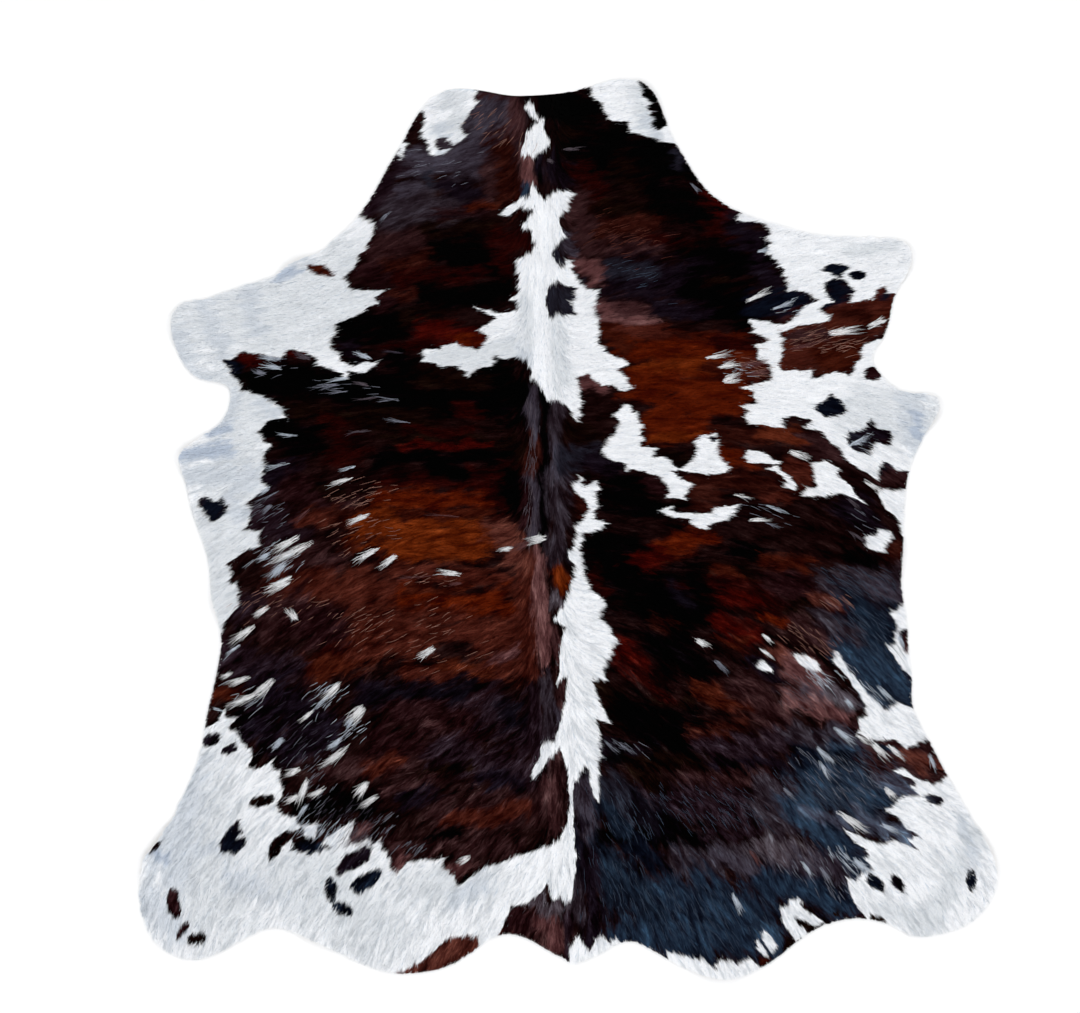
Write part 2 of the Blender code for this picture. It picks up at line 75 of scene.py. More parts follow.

# broad tones of the dark hair, painted one over the other: its own browns, reds and blacks, with painted
# bluish and grey sheen of the glossy hair and painted shadow in its creases
# tone, from across, from down, to across, to down, half width
toneStrokes = [
    # left of the neck and the left shoulder, where the fog and ash are painted sheen
    ("fog", 492, 94, 488, 152, 26), ("mauve", 517, 94, 517, 132, 9), ("mahogany", 500, 146, 508, 198, 15),
    ("cocoa", 488, 166, 484, 204, 8), ("fog", 410, 164, 462, 160, 15), ("iron", 428, 176, 432, 186, 6),
    ("ash", 395, 206, 448, 212, 24), ("plum", 446, 186, 470, 196, 10), ("maroon", 440, 213, 480, 208, 7),
    ("chestnut", 472, 206, 494, 206, 4), ("cocoa", 374, 252, 412, 240, 15), ("fig", 370, 208, 398, 164, 9),
    ("maroon", 356, 268, 388, 278, 13), ("maroon", 362, 262, 380, 268, 6),
    ("mahogany", 392, 264, 426, 261, 10), ("umber", 420, 232, 494, 228, 9), ("ink", 440, 252, 492, 262, 15),
    ("wine", 402, 279, 478, 274, 8), ("wine", 500, 238, 526, 243, 12), ("wine", 503, 262, 514, 292, 9),
    ("iron", 556, 250, 561, 262, 5), ("ink", 425, 298, 506, 293, 14), ("mahogany", 380, 298, 412, 295, 6),
    ("ink", 346, 332, 402, 320, 17), ("umber", 406, 316, 440, 314, 7), ("crimson", 424, 331, 486, 339, 10),
    ("rust", 456, 338, 482, 342, 5), ("wine", 388, 349, 430, 342, 7), ("ink", 392, 358, 416, 370, 9),
    ("plum", 344, 346, 356, 362, 8), ("crimson", 240, 357, 262, 358, 7), ("navy", 224, 364, 238, 376, 6),
    ("crimson", 288, 353, 300, 352, 4),
    # left side of the back
    ("ink", 262, 382, 392, 388, 22), ("ink", 488, 372, 524, 402, 22), ("umber", 424, 378, 484, 386, 12),
    ("ink", 398, 402, 504, 406, 14), ("umber", 296, 410, 424, 424, 11), ("wine", 326, 424, 346, 440, 11),
    ("wine", 455, 408, 476, 417, 6), ("ink", 268, 428, 312, 438, 15), ("ink", 298, 446, 322, 450, 9),
    ("wine", 408, 431, 472, 433, 5), ("umber", 380, 438, 500, 441, 5), ("crimson", 398, 447, 482, 444, 4),
    ("ink", 382, 457, 512, 457, 8), ("umber", 506, 440, 520, 458, 10), ("wine", 470, 470, 520, 474, 8),
    ("ink", 512, 478, 512, 506, 11), ("wine", 332, 458, 352, 454, 11), ("plum", 266, 478, 292, 470, 12),
    ("fig", 262, 512, 288, 534, 17), ("maroon", 302, 488, 334, 500, 17), ("wine", 384, 481, 484, 483, 5),
    ("ink", 436, 470, 464, 474, 8), ("mahogany", 314, 516, 352, 520, 10), ("russet", 300, 520, 324, 516, 7),
    ("chestnut", 350, 544, 374, 552, 8), ("rust", 384, 499, 488, 500, 10),
    ("amber", 374, 527, 476, 536, 17), ("amber", 390, 550, 474, 553, 9),
    ("chestnut", 404, 514, 482, 515, 5), ("wine", 494, 494, 500, 518, 7), ("fawn", 500, 530, 526, 566, 12),
    ("cocoa", 272, 556, 340, 560, 10), ("russet", 280, 584, 402, 592, 17),
    ("russet", 400, 570, 500, 580, 8), ("fig", 236, 612, 256, 598, 10), ("cocoa", 268, 624, 292, 604, 15),
    ("maroon", 306, 622, 352, 640, 18), ("rust", 408, 602, 506, 606, 14),
    ("chestnut", 410, 590, 470, 588, 4), ("russet", 370, 626, 506, 640, 20),
    ("chestnut", 322, 668, 362, 652, 15), ("wine", 326, 650, 356, 646, 4),
    ("sienna", 436, 668, 494, 672, 8), ("russet", 440, 640, 520, 622, 9), ("soot", 442, 652, 464, 651, 8),
    ("fig", 228, 658, 292, 670, 15), ("chestnut", 212, 696, 238, 690, 9), ("plum", 268, 690, 304, 722, 22),
    ("plum", 366, 694, 484, 692, 13), ("sloe", 376, 696, 478, 691, 9), ("plum", 250, 720, 272, 740, 17),
    ("plum", 288, 752, 324, 738, 15), ("plum", 308, 714, 332, 736, 11), ("maroon", 398, 712, 478, 726, 15),
    ("mauve", 426, 722, 444, 728, 7), ("maroon", 476, 700, 496, 690, 7), ("fig", 492, 712, 540, 742, 20),
    ("sloe", 506, 714, 536, 722, 12), ("maroon", 380, 742, 470, 750, 12), ("fig", 446, 752, 532, 778, 18),
    ("cocoa", 326, 772, 412, 764, 10), ("russet", 374, 768, 402, 758, 8), ("umber", 430, 772, 472, 764, 5),
    ("ink", 334, 798, 362, 806, 12), ("ink", 298, 806, 330, 812, 11), ("cocoa", 390, 786, 430, 780, 7),
    ("plum", 404, 800, 436, 795, 8), ("cocoa", 446, 818, 546, 800, 20), ("russet", 450, 824, 526, 808, 8),
    ("plum", 480, 780, 526, 784, 8), ("soot", 428, 838, 458, 840, 7), ("mauve", 550, 782, 557, 830, 8),
    ("cocoa", 388, 840, 484, 850, 9), ("ink", 418, 842, 456, 839, 5), ("soot", 392, 834, 420, 842, 5),
    ("rose", 396, 864, 400, 858, 7), ("rose", 452, 874, 466, 864, 9), ("cocoa", 556, 758, 556, 770, 6),
    # beside the backbone: the fog, ash and mauve bands at across 533 and 557 are painted sheen on its two
    # ridges, and the ink line at 543 painted shade in the groove between them
    ("russet", 526, 588, 530, 652, 12), ("blush", 539, 552, 544, 664, 5), ("blush", 530, 157, 530, 181, 7),
    ("steel", 524, 188, 524, 194, 4), ("ash", 545, 680, 546, 732, 8), ("fig", 532, 690, 536, 730, 8),
    ("fog", 558, 700, 560, 720, 5), ("ink", 541, 158, 542, 182, 4), ("plum", 553, 166, 564, 178, 13),
    ("fog", 533, 388, 533, 440, 5), ("mauve", 533, 442, 533, 470, 5), ("fog", 533, 480, 533, 536, 6),
    ("maroon", 524, 488, 526, 528, 5), ("ink", 543, 384, 545, 546, 5), ("mahogany", 531, 442, 532, 464, 5),
    ("ash", 557, 402, 558, 482, 8), ("fog", 556, 444, 557, 474, 7), ("ash", 558, 484, 558, 514, 9),
    ("ash", 559, 520, 558, 566, 9), ("amber", 560, 574, 566, 586, 7), ("pewter", 556, 596, 560, 604, 6),
    ("rose", 549, 630, 548, 660, 6), ("mauve", 556, 632, 555, 664, 4), ("cocoa", 563, 684, 561, 704, 4),
    ("mahogany", 576, 498, 584, 512, 8), ("iron", 568, 458, 592, 452, 12),
    ("umber", 574, 432, 606, 436, 10), ("soot", 596, 390, 612, 420, 15), ("rose", 586, 377, 594, 388, 8),
    ("plum", 594, 462, 618, 474, 12),
    # right of the neck and the right shoulder; the mauve, rose and blush bands at down 308 to 324 are
    # painted highlight on a ridge across the shoulder
    ("ink", 556, 96, 606, 160, 32), ("umber", 558, 128, 592, 136, 8), ("ink", 616, 150, 676, 162, 24),
    ("wine", 580, 168, 602, 204, 10), ("umber", 622, 168, 646, 192, 14), ("crimson", 702, 194, 730, 213, 8),
    ("cocoa", 574, 206, 592, 244, 14), ("umber", 600, 206, 660, 212, 9), ("ink", 656, 192, 704, 214, 18),
    ("mahogany", 608, 229, 652, 225, 9), ("wine", 640, 240, 704, 243, 7), ("wine", 716, 230, 728, 236, 9),
    ("ink", 704, 256, 762, 262, 20), ("plum", 744, 228, 756, 240, 14), ("cocoa", 598, 246, 654, 250, 8),
    ("plum", 622, 280, 684, 284, 24), ("iron", 612, 268, 650, 272, 8), ("ink", 700, 292, 744, 312, 21),
    ("umber", 708, 280, 722, 279, 5), ("plum", 764, 266, 776, 286, 10), ("navy", 754, 306, 800, 303, 12),
    ("rose", 578, 266, 594, 276, 10), ("mauve", 602, 308, 642, 311, 8), ("plum", 650, 308, 704, 313, 8),
    ("mauve", 602, 312, 640, 316, 9), ("mahogany", 620, 333, 722, 337, 5), ("rust", 620, 352, 742, 352, 14),
    ("amber", 642, 372, 704, 366, 9), ("rust", 636, 384, 740, 392, 16), ("chestnut", 706, 366, 722, 374, 6),
    ("rust", 660, 408, 738, 408, 8), ("rust", 650, 430, 704, 428, 12), ("amber", 648, 438, 690, 436, 4),
    ("russet", 742, 366, 756, 374, 8), ("wine", 720, 343, 754, 348, 8), ("mahogany", 714, 436, 764, 436, 8),
    ("sienna", 768, 432, 804, 438, 7), ("cocoa", 812, 440, 830, 448, 8), ("cocoa", 812, 452, 838, 456, 6),
    ("rust", 724, 456, 746, 462, 9), ("umber", 654, 454, 692, 462, 8), ("mahogany", 698, 486, 794, 480, 13),
    ("russet", 788, 466, 806, 476, 8), ("russet", 758, 496, 790, 498, 4),
    ("mahogany", 688, 506, 722, 508, 5),
    # right side of the back
    ("ink", 618, 492, 656, 512, 22), ("maroon", 650, 482, 668, 490, 7), ("soot", 618, 530, 684, 524, 8),
    ("ink", 598, 536, 626, 552, 14), ("rust", 654, 556, 706, 537, 9), ("ink", 612, 566, 684, 612, 34),
    ("ink", 686, 584, 704, 588, 16), ("crimson", 634, 562, 656, 557, 8), ("wine", 594, 574, 602, 590, 8),
    ("soot", 738, 524, 802, 536, 15), ("ink", 734, 550, 762, 552, 9), ("chestnut", 768, 560, 806, 564, 8),
    ("soot", 802, 540, 852, 548, 13), ("plum", 848, 504, 876, 528, 13), ("ink", 850, 556, 872, 560, 8),
    ("umber", 712, 568, 748, 572, 6), ("chestnut", 715, 569, 732, 572, 5), ("wine", 720, 588, 772, 600, 12),
    ("crimson", 720, 620, 748, 638, 10), ("crimson", 719, 612, 722, 632, 5),
    ("chestnut", 722, 640, 744, 640, 5), ("crimson", 722, 597, 758, 598, 4),
    ("wine", 732, 621, 742, 626, 4), ("rust", 762, 616, 794, 622, 5), ("mahogany", 656, 624, 674, 627, 7),
    ("wine", 666, 583, 682, 584, 5), ("maroon", 776, 580, 812, 594, 12), ("umber", 790, 606, 808, 608, 8),
    ("fawn", 820, 600, 844, 606, 7), ("ash", 836, 580, 896, 586, 13), ("slate", 862, 616, 900, 652, 26),
    ("ash", 826, 626, 850, 640, 13), ("cocoa", 796, 622, 818, 640, 10), ("mahogany", 888, 548, 902, 556, 9),
    ("crimson", 616, 646, 636, 664, 12), ("ink", 656, 640, 706, 668, 17), ("umber", 602, 690, 622, 724, 13),
    ("ink", 636, 718, 684, 734, 24), ("wine", 638, 674, 664, 698, 8), ("chestnut", 698, 690, 744, 704, 8),
    ("mahogany", 698, 736, 742, 724, 9), ("umber", 648, 702, 692, 703, 4),
    ("cocoa", 746, 690, 784, 720, 16), ("rose", 788, 664, 812, 684, 12), ("blush", 792, 698, 826, 704, 10),
    ("fog", 800, 684, 824, 690, 6), ("rose", 838, 714, 850, 718, 7), ("fawn", 774, 654, 794, 664, 8),
    ("plum", 754, 662, 772, 680, 8), ("steel", 874, 678, 906, 692, 17), ("fig", 700, 750, 794, 744, 11),
    # the ink line and the umber stroke below, at down 756 to 770, are painted shadow in a crease across the
    # hide
    ("steel", 816, 744, 852, 750, 11), ("plum", 600, 748, 640, 752, 8), ("ink", 604, 760, 690, 757, 4),
    ("umber", 640, 756, 692, 770, 7),
    # right side of the rump: the petrol, steel, slate and shale are painted bluish sheen, and the lines at
    # down 757 to 765 and 831 to 837 painted shadow in creases across the hide
    ("cocoa", 686, 776, 764, 780, 8), ("fig", 654, 800, 768, 812, 20), ("iron", 598, 786, 644, 818, 20),
    ("steel", 816, 778, 874, 792, 25), ("steel", 786, 792, 812, 812, 14), ("plum", 700, 763, 790, 765, 4),
    ("navy", 806, 757, 884, 761, 9), ("umber", 636, 758, 700, 762, 8), ("fog", 582, 784, 590, 834, 8),
    ("plum", 581, 820, 584, 826, 5), ("slate", 598, 866, 652, 902, 27), ("plum", 588, 856, 592, 940, 9),
    ("ash", 676, 860, 768, 856, 13), ("ink", 606, 837, 704, 836, 11), ("fig", 704, 835, 792, 831, 4),
    ("pewter", 772, 848, 794, 852, 11), ("petrol", 668, 906, 744, 922, 34),
    ("petrol", 626, 934, 704, 950, 14), ("petrol", 768, 882, 850, 904, 18), ("fog", 778, 858, 842, 866, 11),
    ("petrol", 742, 936, 766, 946, 10), ("maroon", 856, 911, 868, 918, 6),
    ("petrol", 828, 836, 858, 866, 12), ("shale", 858, 818, 886, 828, 9), ("shale", 892, 830, 912, 838, 6),
    ("maroon", 915, 839, 925, 847, 4), ("shale", 898, 776, 912, 794, 8),
    # both sides again, over those
    ("fog", 874, 588, 900, 592, 6), ("rose", 794, 664, 816, 680, 11), ("steel", 842, 652, 866, 674, 10),
    ("steel", 874, 658, 900, 668, 12), ("pewter", 834, 692, 852, 704, 8), ("ash", 796, 734, 822, 738, 9),
    ("fog", 832, 728, 846, 736, 6), ("umber", 640, 776, 664, 786, 9), ("ash", 758, 784, 786, 790, 8),
    ("shale", 880, 780, 896, 790, 7), ("slate", 602, 804, 622, 830, 8), ("sloe", 640, 806, 664, 826, 12),
    ("ash", 756, 804, 784, 826, 12), ("steel", 798, 808, 826, 832, 13), ("shale", 806, 812, 850, 822, 5),
    ("navy", 640, 848, 660, 866, 11), ("fog", 716, 852, 744, 868, 7), ("pewter", 758, 846, 782, 858, 7),
    ("slate", 634, 886, 652, 912, 12), ("steel", 756, 926, 776, 936, 8), ("sloe", 668, 580, 684, 600, 8),
    ("russet", 354, 652, 414, 646, 9), ("russet", 408, 672, 446, 671, 7),
    ("russet", 488, 664, 530, 668, 10), ("rose", 496, 662, 516, 650, 5), ("blush", 612, 320, 656, 324, 4),
    ("chestnut", 604, 330, 620, 350, 8), ("russet", 616, 329, 662, 331, 5), ("rose", 596, 308, 610, 314, 5),
    ("cocoa", 478, 846, 512, 846, 8), ("ash", 572, 884, 576, 916, 8), ("umber", 318, 486, 338, 492, 8),
    ("fog", 568, 240, 576, 254, 6), ("fog", 396, 190, 420, 186, 6), ("maroon", 372, 300, 388, 304, 7),
    ("cocoa", 490, 92, 512, 94, 9),
    # bottom edge by the tail
    ("maroon", 506, 924, 530, 926, 13), ("rose", 544, 918, 556, 946, 11), ("pewter", 540, 900, 556, 908, 8),
    ("fig", 566, 920, 566, 955, 4),
    # the spots inside the white
    ("ash", 438, 144, 450, 146, 8), ("ink", 646, 84, 662, 124, 10), ("iron", 676, 152, 682, 164, 6),
    ("iron", 558, 292, 564, 308, 16), ("navy", 208, 506, 216, 508, 12), ("russet", 790, 352, 884, 300, 24),
    ("cocoa", 798, 334, 824, 333, 7), ("chestnut", 826, 360, 852, 352, 12),
    ("mahogany", 846, 314, 868, 320, 6), ("navy", 884, 288, 889, 292, 6), ("navy", 824, 304, 832, 302, 4),
    ("navy", 836, 288, 842, 292, 13), ("navy", 820, 406, 840, 406, 12), ("iron", 850, 444, 866, 440, 11),
    ("plum", 872, 424, 886, 438, 10), ("navy", 880, 464, 902, 470, 6), ("cocoa", 884, 480, 904, 478, 9),
    ("mauve", 903, 634, 908, 650, 8), ("cocoa", 886, 752, 950, 764, 24), ("fawn", 908, 758, 938, 768, 7),
    ("navy", 230, 830, 240, 850, 16), ("plum", 332, 890, 366, 852, 14), ("fawn", 390, 974, 476, 944, 20),
]
print("tones charted:", len(toneStrokes))

# outlines of the white patches. Where one meets the cut edge, its outline runs out past it.
whitePatches = {
    "left foreleg": [
        (357, 214), (363, 217), (367, 223), (374, 224), (372, 233), (366, 249), (357, 256), (355, 268),
        (344, 277), (351, 288), (374, 292), (384, 290), (374, 298), (377, 304), (366, 309), (354, 317),
        (335, 324), (335, 331), (329, 344), (341, 359), (352, 368), (367, 361), (377, 364), (366, 373),
        (348, 371), (345, 379), (336, 380), (342, 374), (318, 364), (316, 357), (297, 350), (288, 349),
        (280, 358), (257, 354), (242, 351), (233, 359), (223, 359), (229, 374), (236, 379), (229, 386),
        (215, 392), (150, 400), (140, 250), (300, 200), (350, 190)],
    "left flank": [
        (236, 378), (243, 391), (252, 391), (262, 398), (285, 407), (279, 407), (286, 418), (268, 420),
        (258, 433), (270, 447), (263, 458), (266, 466), (261, 480), (268, 490), (256, 495), (247, 504),
        (250, 520), (243, 530), (259, 533), (260, 547), (245, 551), (228, 562), (232, 571), (227, 582),
        (236, 584), (240, 600), (236, 610), (225, 622), (221, 634), (190, 640), (150, 480), (150, 400),
        (229, 372)],
    "neck, left": [
        (478, 84), (474, 96), (477, 104), (468, 114), (461, 127), (467, 136), (459, 142), (452, 147),
        (446, 153), (437, 156), (431, 152), (427, 145), (421, 130), (425, 122), (423, 110), (415, 105),
        (430, 70), (478, 70)],
    "neck, left edge": [(403, 142), (407, 143), (401, 160), (397, 153)],
    "neck, right": [
        (590, 80), (592, 95), (602, 103), (604, 111), (614, 121), (627, 121), (633, 133), (651, 137),
        (659, 141), (676, 144), (683, 153), (695, 135), (680, 60), (600, 60)],
    "nape, front": [(523, 108), (530, 101), (534, 108), (540, 121), (528, 114)],
    "nape, back": [
        (527, 130), (540, 122), (545, 121), (543, 130), (551, 141), (547, 148), (535, 157), (521, 157),
        (521, 150), (525, 143)],
    "withers": [
        (533, 182), (539, 194), (545, 200), (549, 196), (551, 192), (568, 190), (577, 194), (570, 199),
        (569, 207), (558, 218), (564, 234), (561, 241), (551, 254), (562, 270), (567, 262), (573, 260),
        (573, 270), (585, 290), (598, 290), (594, 311), (598, 318), (600, 346), (614, 356), (631, 362),
        (618, 371), (633, 388), (622, 391), (608, 385), (600, 386), (592, 376), (586, 373), (576, 379),
        (582, 395), (580, 415), (578, 424), (570, 411), (566, 404), (556, 399), (548, 400), (541, 386),
        (530, 378), (533, 372), (527, 361), (512, 358), (504, 359), (497, 355), (491, 366), (475, 370),
        (470, 378), (460, 366), (438, 367), (430, 362), (420, 361), (426, 356), (421, 351), (426, 348),
        (445, 350), (440, 346), (456, 343), (477, 350), (488, 338), (477, 330), (497, 319), (490, 314),
        (473, 306), (500, 313), (519, 311), (517, 306), (510, 298), (521, 291), (517, 285), (521, 280),
        (514, 262), (527, 256), (536, 245), (528, 230), (521, 226), (535, 211), (521, 207), (508, 216),
        (500, 214), (505, 208), (520, 200), (528, 199), (530, 190)],
    "right foreleg": [
        (741, 214), (736, 220), (742, 222), (764, 223), (773, 232), (768, 237), (771, 243), (768, 251),
        (785, 272), (788, 291), (804, 292), (818, 300), (802, 309), (800, 315), (783, 325), (770, 322),
        (751, 318), (753, 332), (771, 341), (755, 344), (760, 362), (768, 364), (772, 378), (758, 385),
        (742, 387), (753, 392), (756, 403), (741, 407), (750, 412), (745, 418), (752, 424), (784, 428),
        (785, 419), (791, 416), (811, 419), (806, 428), (823, 432), (830, 443), (842, 449), (841, 456),
        (858, 468), (878, 480), (879, 467), (886, 461), (896, 470), (908, 474), (960, 470), (960, 380),
        (930, 230), (800, 200)],
    "middle of the back, right": [
        (600, 450), (613, 436), (619, 424), (619, 417), (615, 415), (625, 404), (629, 405), (633, 415),
        (637, 411), (640, 424), (641, 447), (656, 448), (650, 457), (663, 456), (674, 465), (681, 469),
        (696, 457), (696, 441), (700, 436), (716, 433), (716, 440), (724, 460), (729, 468), (727, 472),
        (706, 474), (671, 470), (677, 477), (695, 485), (688, 490), (684, 500), (667, 497), (671, 490),
        (662, 476), (650, 475), (634, 469), (624, 472), (628, 464), (613, 461)],
    "smear below it": [
        (660, 511), (673, 505), (671, 510), (686, 513), (711, 514), (716, 508), (740, 504), (727, 518),
        (704, 529), (690, 525), (693, 520), (674, 517)],
    "flank island": [
        (811, 463), (826, 461), (838, 468), (838, 475), (852, 487), (855, 494), (866, 503), (842, 493),
        (823, 497), (803, 496), (800, 493), (816, 488), (817, 481)],
    "flank, upper slip": [
        (747, 460), (748, 450), (760, 451), (775, 460), (782, 462), (776, 465), (762, 463), (748, 463)],
    "flank, middle slip": [
        (765, 468), (777, 466), (787, 475), (797, 485), (795, 491), (783, 487), (787, 482), (777, 472)],
    "flank, lower slip": [
        (865, 537), (877, 534), (877, 529), (891, 532), (893, 537), (884, 546), (885, 551), (880, 553),
        (866, 548)],
    "right edge": [
        (878, 490), (906, 489), (925, 500), (925, 545), (903, 536), (897, 518), (884, 506), (880, 499)],
    "right edge tuft": [
        (903, 603), (895, 611), (891, 614), (899, 628), (892, 638), (897, 643), (886, 645), (901, 666),
        (912, 678), (925, 678), (925, 600)],
    "rump island": [(793, 655), (806, 654), (816, 661), (822, 673), (811, 669), (800, 665)],
    "small rump island": [(758, 668), (763, 660), (773, 670), (764, 671)],
    "right thigh": [
        (835, 653), (838, 651), (848, 668), (868, 694), (886, 710), (897, 702), (912, 708), (935, 705),
        (950, 745), (925, 741), (907, 748), (892, 739), (871, 741), (858, 732), (861, 728), (860, 719),
        (867, 715), (863, 701), (848, 677), (832, 660)],
    "right hind leg": [
        (946, 776), (933, 785), (914, 777), (903, 768), (895, 772), (912, 779), (910, 786), (921, 797),
        (905, 797), (892, 807), (887, 812), (899, 818), (906, 828), (924, 838), (908, 839), (922, 854),
        (905, 843), (893, 842), (877, 844), (857, 835), (845, 830), (853, 841), (868, 850), (865, 861),
        (874, 867), (862, 874), (856, 882), (847, 878), (852, 899), (858, 908), (866, 918), (900, 960),
        (1020, 950), (1020, 850), (960, 770)],
    "bottom edge, right tuft": [
        (779, 907), (790, 903), (793, 898), (804, 902), (799, 905), (823, 921), (813, 926), (796, 918),
        (808, 933), (796, 941), (784, 924)],
    "bottom edge, middle tuft": [(763, 931), (768, 933), (779, 946), (770, 953), (763, 940)],
    "bottom edge, left tuft": [(755, 939), (759, 940), (770, 959), (758, 951)],
    "bottom edge": [
        (668, 952), (680, 955), (695, 960), (703, 957), (712, 968), (717, 969), (715, 964), (722, 960),
        (734, 962), (738, 967), (742, 960), (750, 960), (762, 968), (770, 1000), (660, 1000)],
    "tail": [
        (570, 957), (570, 946), (578, 937), (590, 950), (597, 939), (601, 937), (610, 944), (615, 941),
        (627, 942), (630, 990), (568, 990)],
    "loin stripe": [
        (573, 487), (580, 475), (584, 487), (595, 480), (598, 483), (596, 518), (593, 519), (604, 522),
        (609, 523), (599, 530), (585, 534), (580, 548), (584, 572), (590, 590), (605, 600), (601, 618),
        (613, 632), (617, 641), (603, 670), (606, 679), (592, 682), (598, 698), (611, 724), (597, 720),
        (602, 738), (598, 768), (600, 790), (597, 800), (592, 793), (589, 770), (585, 765), (574, 785),
        (573, 795), (575, 848), (577, 860), (572, 900), (566, 903), (561, 898), (553, 902), (547, 887),
        (541, 892), (528, 903), (510, 908), (504, 925), (499, 934), (490, 990), (130, 1000), (100, 800),
        (180, 720), (205, 728), (219, 721), (224, 709), (228, 719), (238, 717), (228, 727), (241, 739),
        (243, 747), (253, 756), (247, 768), (259, 769), (276, 757), (272, 763), (284, 786), (276, 807),
        (285, 816), (296, 819), (301, 829), (285, 831), (272, 840), (267, 856), (268, 863), (276, 858),
        (278, 850), (293, 838), (290, 850), (301, 854), (326, 850), (349, 846), (352, 840), (368, 838),
        (371, 845), (381, 838), (380, 848), (391, 857), (390, 870), (397, 873), (407, 862), (443, 859),
        (441, 865), (459, 887), (480, 870), (500, 862), (530, 852), (547, 847), (556, 846), (567, 825),
        (570, 800), (567, 770), (560, 748), (552, 758), (543, 768), (534, 779), (532, 770), (541, 755),
        (541, 745), (553, 742), (561, 722), (566, 700), (568, 677), (556, 683), (560, 672), (560, 645),
        (566, 626), (553, 620), (570, 596), (576, 566), (568, 557), (577, 536), (577, 526), (588, 514),
        (589, 507)],
    "hip blobs": [(301, 826), (316, 826), (316, 837), (303, 836)],
    "hip lobe": [(352, 822), (330, 835), (322, 843), (333, 850), (348, 847), (355, 830)],
}

# broad tones of the white hair, as toneStrokes: partly its own duller and brighter whites, partly painted
# shade in its folds, wrinkles and dimples
shadeStrokes = [
    ("cloud", 176, 330, 330, 300, 44), ("cloud", 340, 250, 372, 290, 20), ("haze", 176, 340, 182, 362, 15),
    ("haze", 204, 306, 224, 352, 10), ("haze", 250, 296, 256, 330, 9), ("haze", 196, 376, 226, 382, 9),
    ("mist", 280, 277, 292, 270, 6), ("haze", 290, 262, 312, 258, 6), ("cloud", 240, 400, 220, 620, 34),
    ("haze", 232, 400, 216, 432, 10), ("mist", 184, 456, 226, 450, 8), ("mist", 200, 452, 212, 452, 5),
    ("mist", 206, 436, 226, 428, 5), ("haze", 190, 474, 250, 478, 12), ("haze", 262, 404, 276, 414, 8),
    ("haze", 232, 500, 240, 520, 8), ("white", 252, 556, 262, 548, 7), ("haze", 520, 352, 505, 350, 14),
    ("cloud", 440, 358, 500, 352, 14), ("cloud", 524, 300, 528, 340, 9), ("snow", 537, 268, 541, 392, 5),
    ("cloud", 556, 300, 562, 380, 9), ("snow", 540, 196, 546, 250, 5), ("cloud", 180, 770, 210, 900, 48),
    ("haze", 186, 770, 172, 870, 20), ("haze", 152, 846, 176, 880, 14), ("mist", 150, 850, 166, 862, 5),
    ("haze", 196, 852, 232, 846, 6), ("haze", 226, 872, 236, 892, 5), ("haze", 150, 900, 180, 930, 14),
    ("haze", 240, 880, 300, 900, 12), ("cloud", 300, 870, 380, 930, 34), ("cloud", 420, 890, 480, 880, 22),
    ("haze", 452, 902, 486, 884, 8), ("cloud", 850, 250, 896, 246, 6), ("cloud", 866, 410, 930, 430, 24),
    ("haze", 910, 404, 918, 450, 12), ("mist", 912, 414, 918, 436, 4), ("cloud", 452, 96, 464, 130, 12),
    ("haze", 440, 128, 448, 150, 7), ("cloud", 640, 94, 650, 130, 12), ("haze", 646, 118, 656, 134, 7),
    ("cloud", 974, 838, 930, 920, 13), ("haze", 972, 848, 976, 872, 6), ("haze", 962, 818, 966, 836, 6),
    ("cloud", 890, 910, 930, 924, 10),
]

# outlines of the dark spots inside the white
darkSpots = {
    "neck": [(435, 141), (441, 137), (449, 138), (454, 144), (450, 149), (438, 149)],
    "neck edge": [
        (637, 78), (642, 93), (650, 102), (650, 113), (653, 127), (660, 131), (666, 124), (690, 118),
        (675, 74), (650, 70)],
    "withers": [
        (549, 318), (546, 308), (548, 288), (557, 280), (577, 290), (573, 306), (574, 314), (563, 318),
        (558, 315)],
    "heart": [
        (197, 505), (199, 498), (206, 496), (212, 502), (217, 502), (221, 497), (226, 501), (226, 511),
        (218, 520), (211, 522), (206, 515)],
    "foreleg": [
        (823, 284), (832, 279), (842, 279), (852, 289), (854, 296), (848, 304), (838, 304), (827, 296)],
    "foreleg, brown": [
        (781, 333), (797, 326), (829, 321), (829, 317), (820, 308), (830, 302), (849, 304), (864, 300),
        (874, 300), (875, 291), (884, 285), (889, 294), (915, 292), (905, 345), (878, 338), (862, 348),
        (861, 358), (850, 376), (836, 371), (817, 378), (809, 379), (810, 370), (795, 370), (785, 371),
        (778, 365), (783, 345)],
    "belly flap": [
        (814, 408), (824, 400), (830, 393), (837, 398), (845, 402), (846, 409), (839, 417), (826, 418)],
    "belly flap, lower": [
        (845, 440), (850, 433), (866, 428), (872, 418), (877, 428), (891, 430), (891, 444), (878, 444),
        (869, 455), (851, 449)],
    "right edge": [(877, 472), (883, 460), (896, 470), (920, 472), (905, 489), (891, 491), (880, 488)],
    "right edge, lower": [(901, 633), (906, 630), (920, 632), (920, 654), (906, 655), (900, 641)],
    "hock": [
        (893, 739), (909, 749), (916, 743), (926, 743), (928, 764), (935, 766), (932, 752), (941, 750),
        (955, 772), (940, 777), (933, 784), (913, 773), (907, 768), (880, 765)],
    "left thigh": [
        (222, 850), (220, 842), (229, 828), (237, 820), (244, 833), (235, 838), (246, 838), (246, 845),
        (235, 855), (225, 853)],
    "hip ring, upper": [(371, 846), (370, 860), (353, 871), (339, 875), (336, 869), (344, 857), (356, 850)],
    "rump, bottom edge": [
        (380, 978), (402, 971), (420, 963), (443, 942), (453, 935), (478, 937), (480, 960), (440, 990)],
}

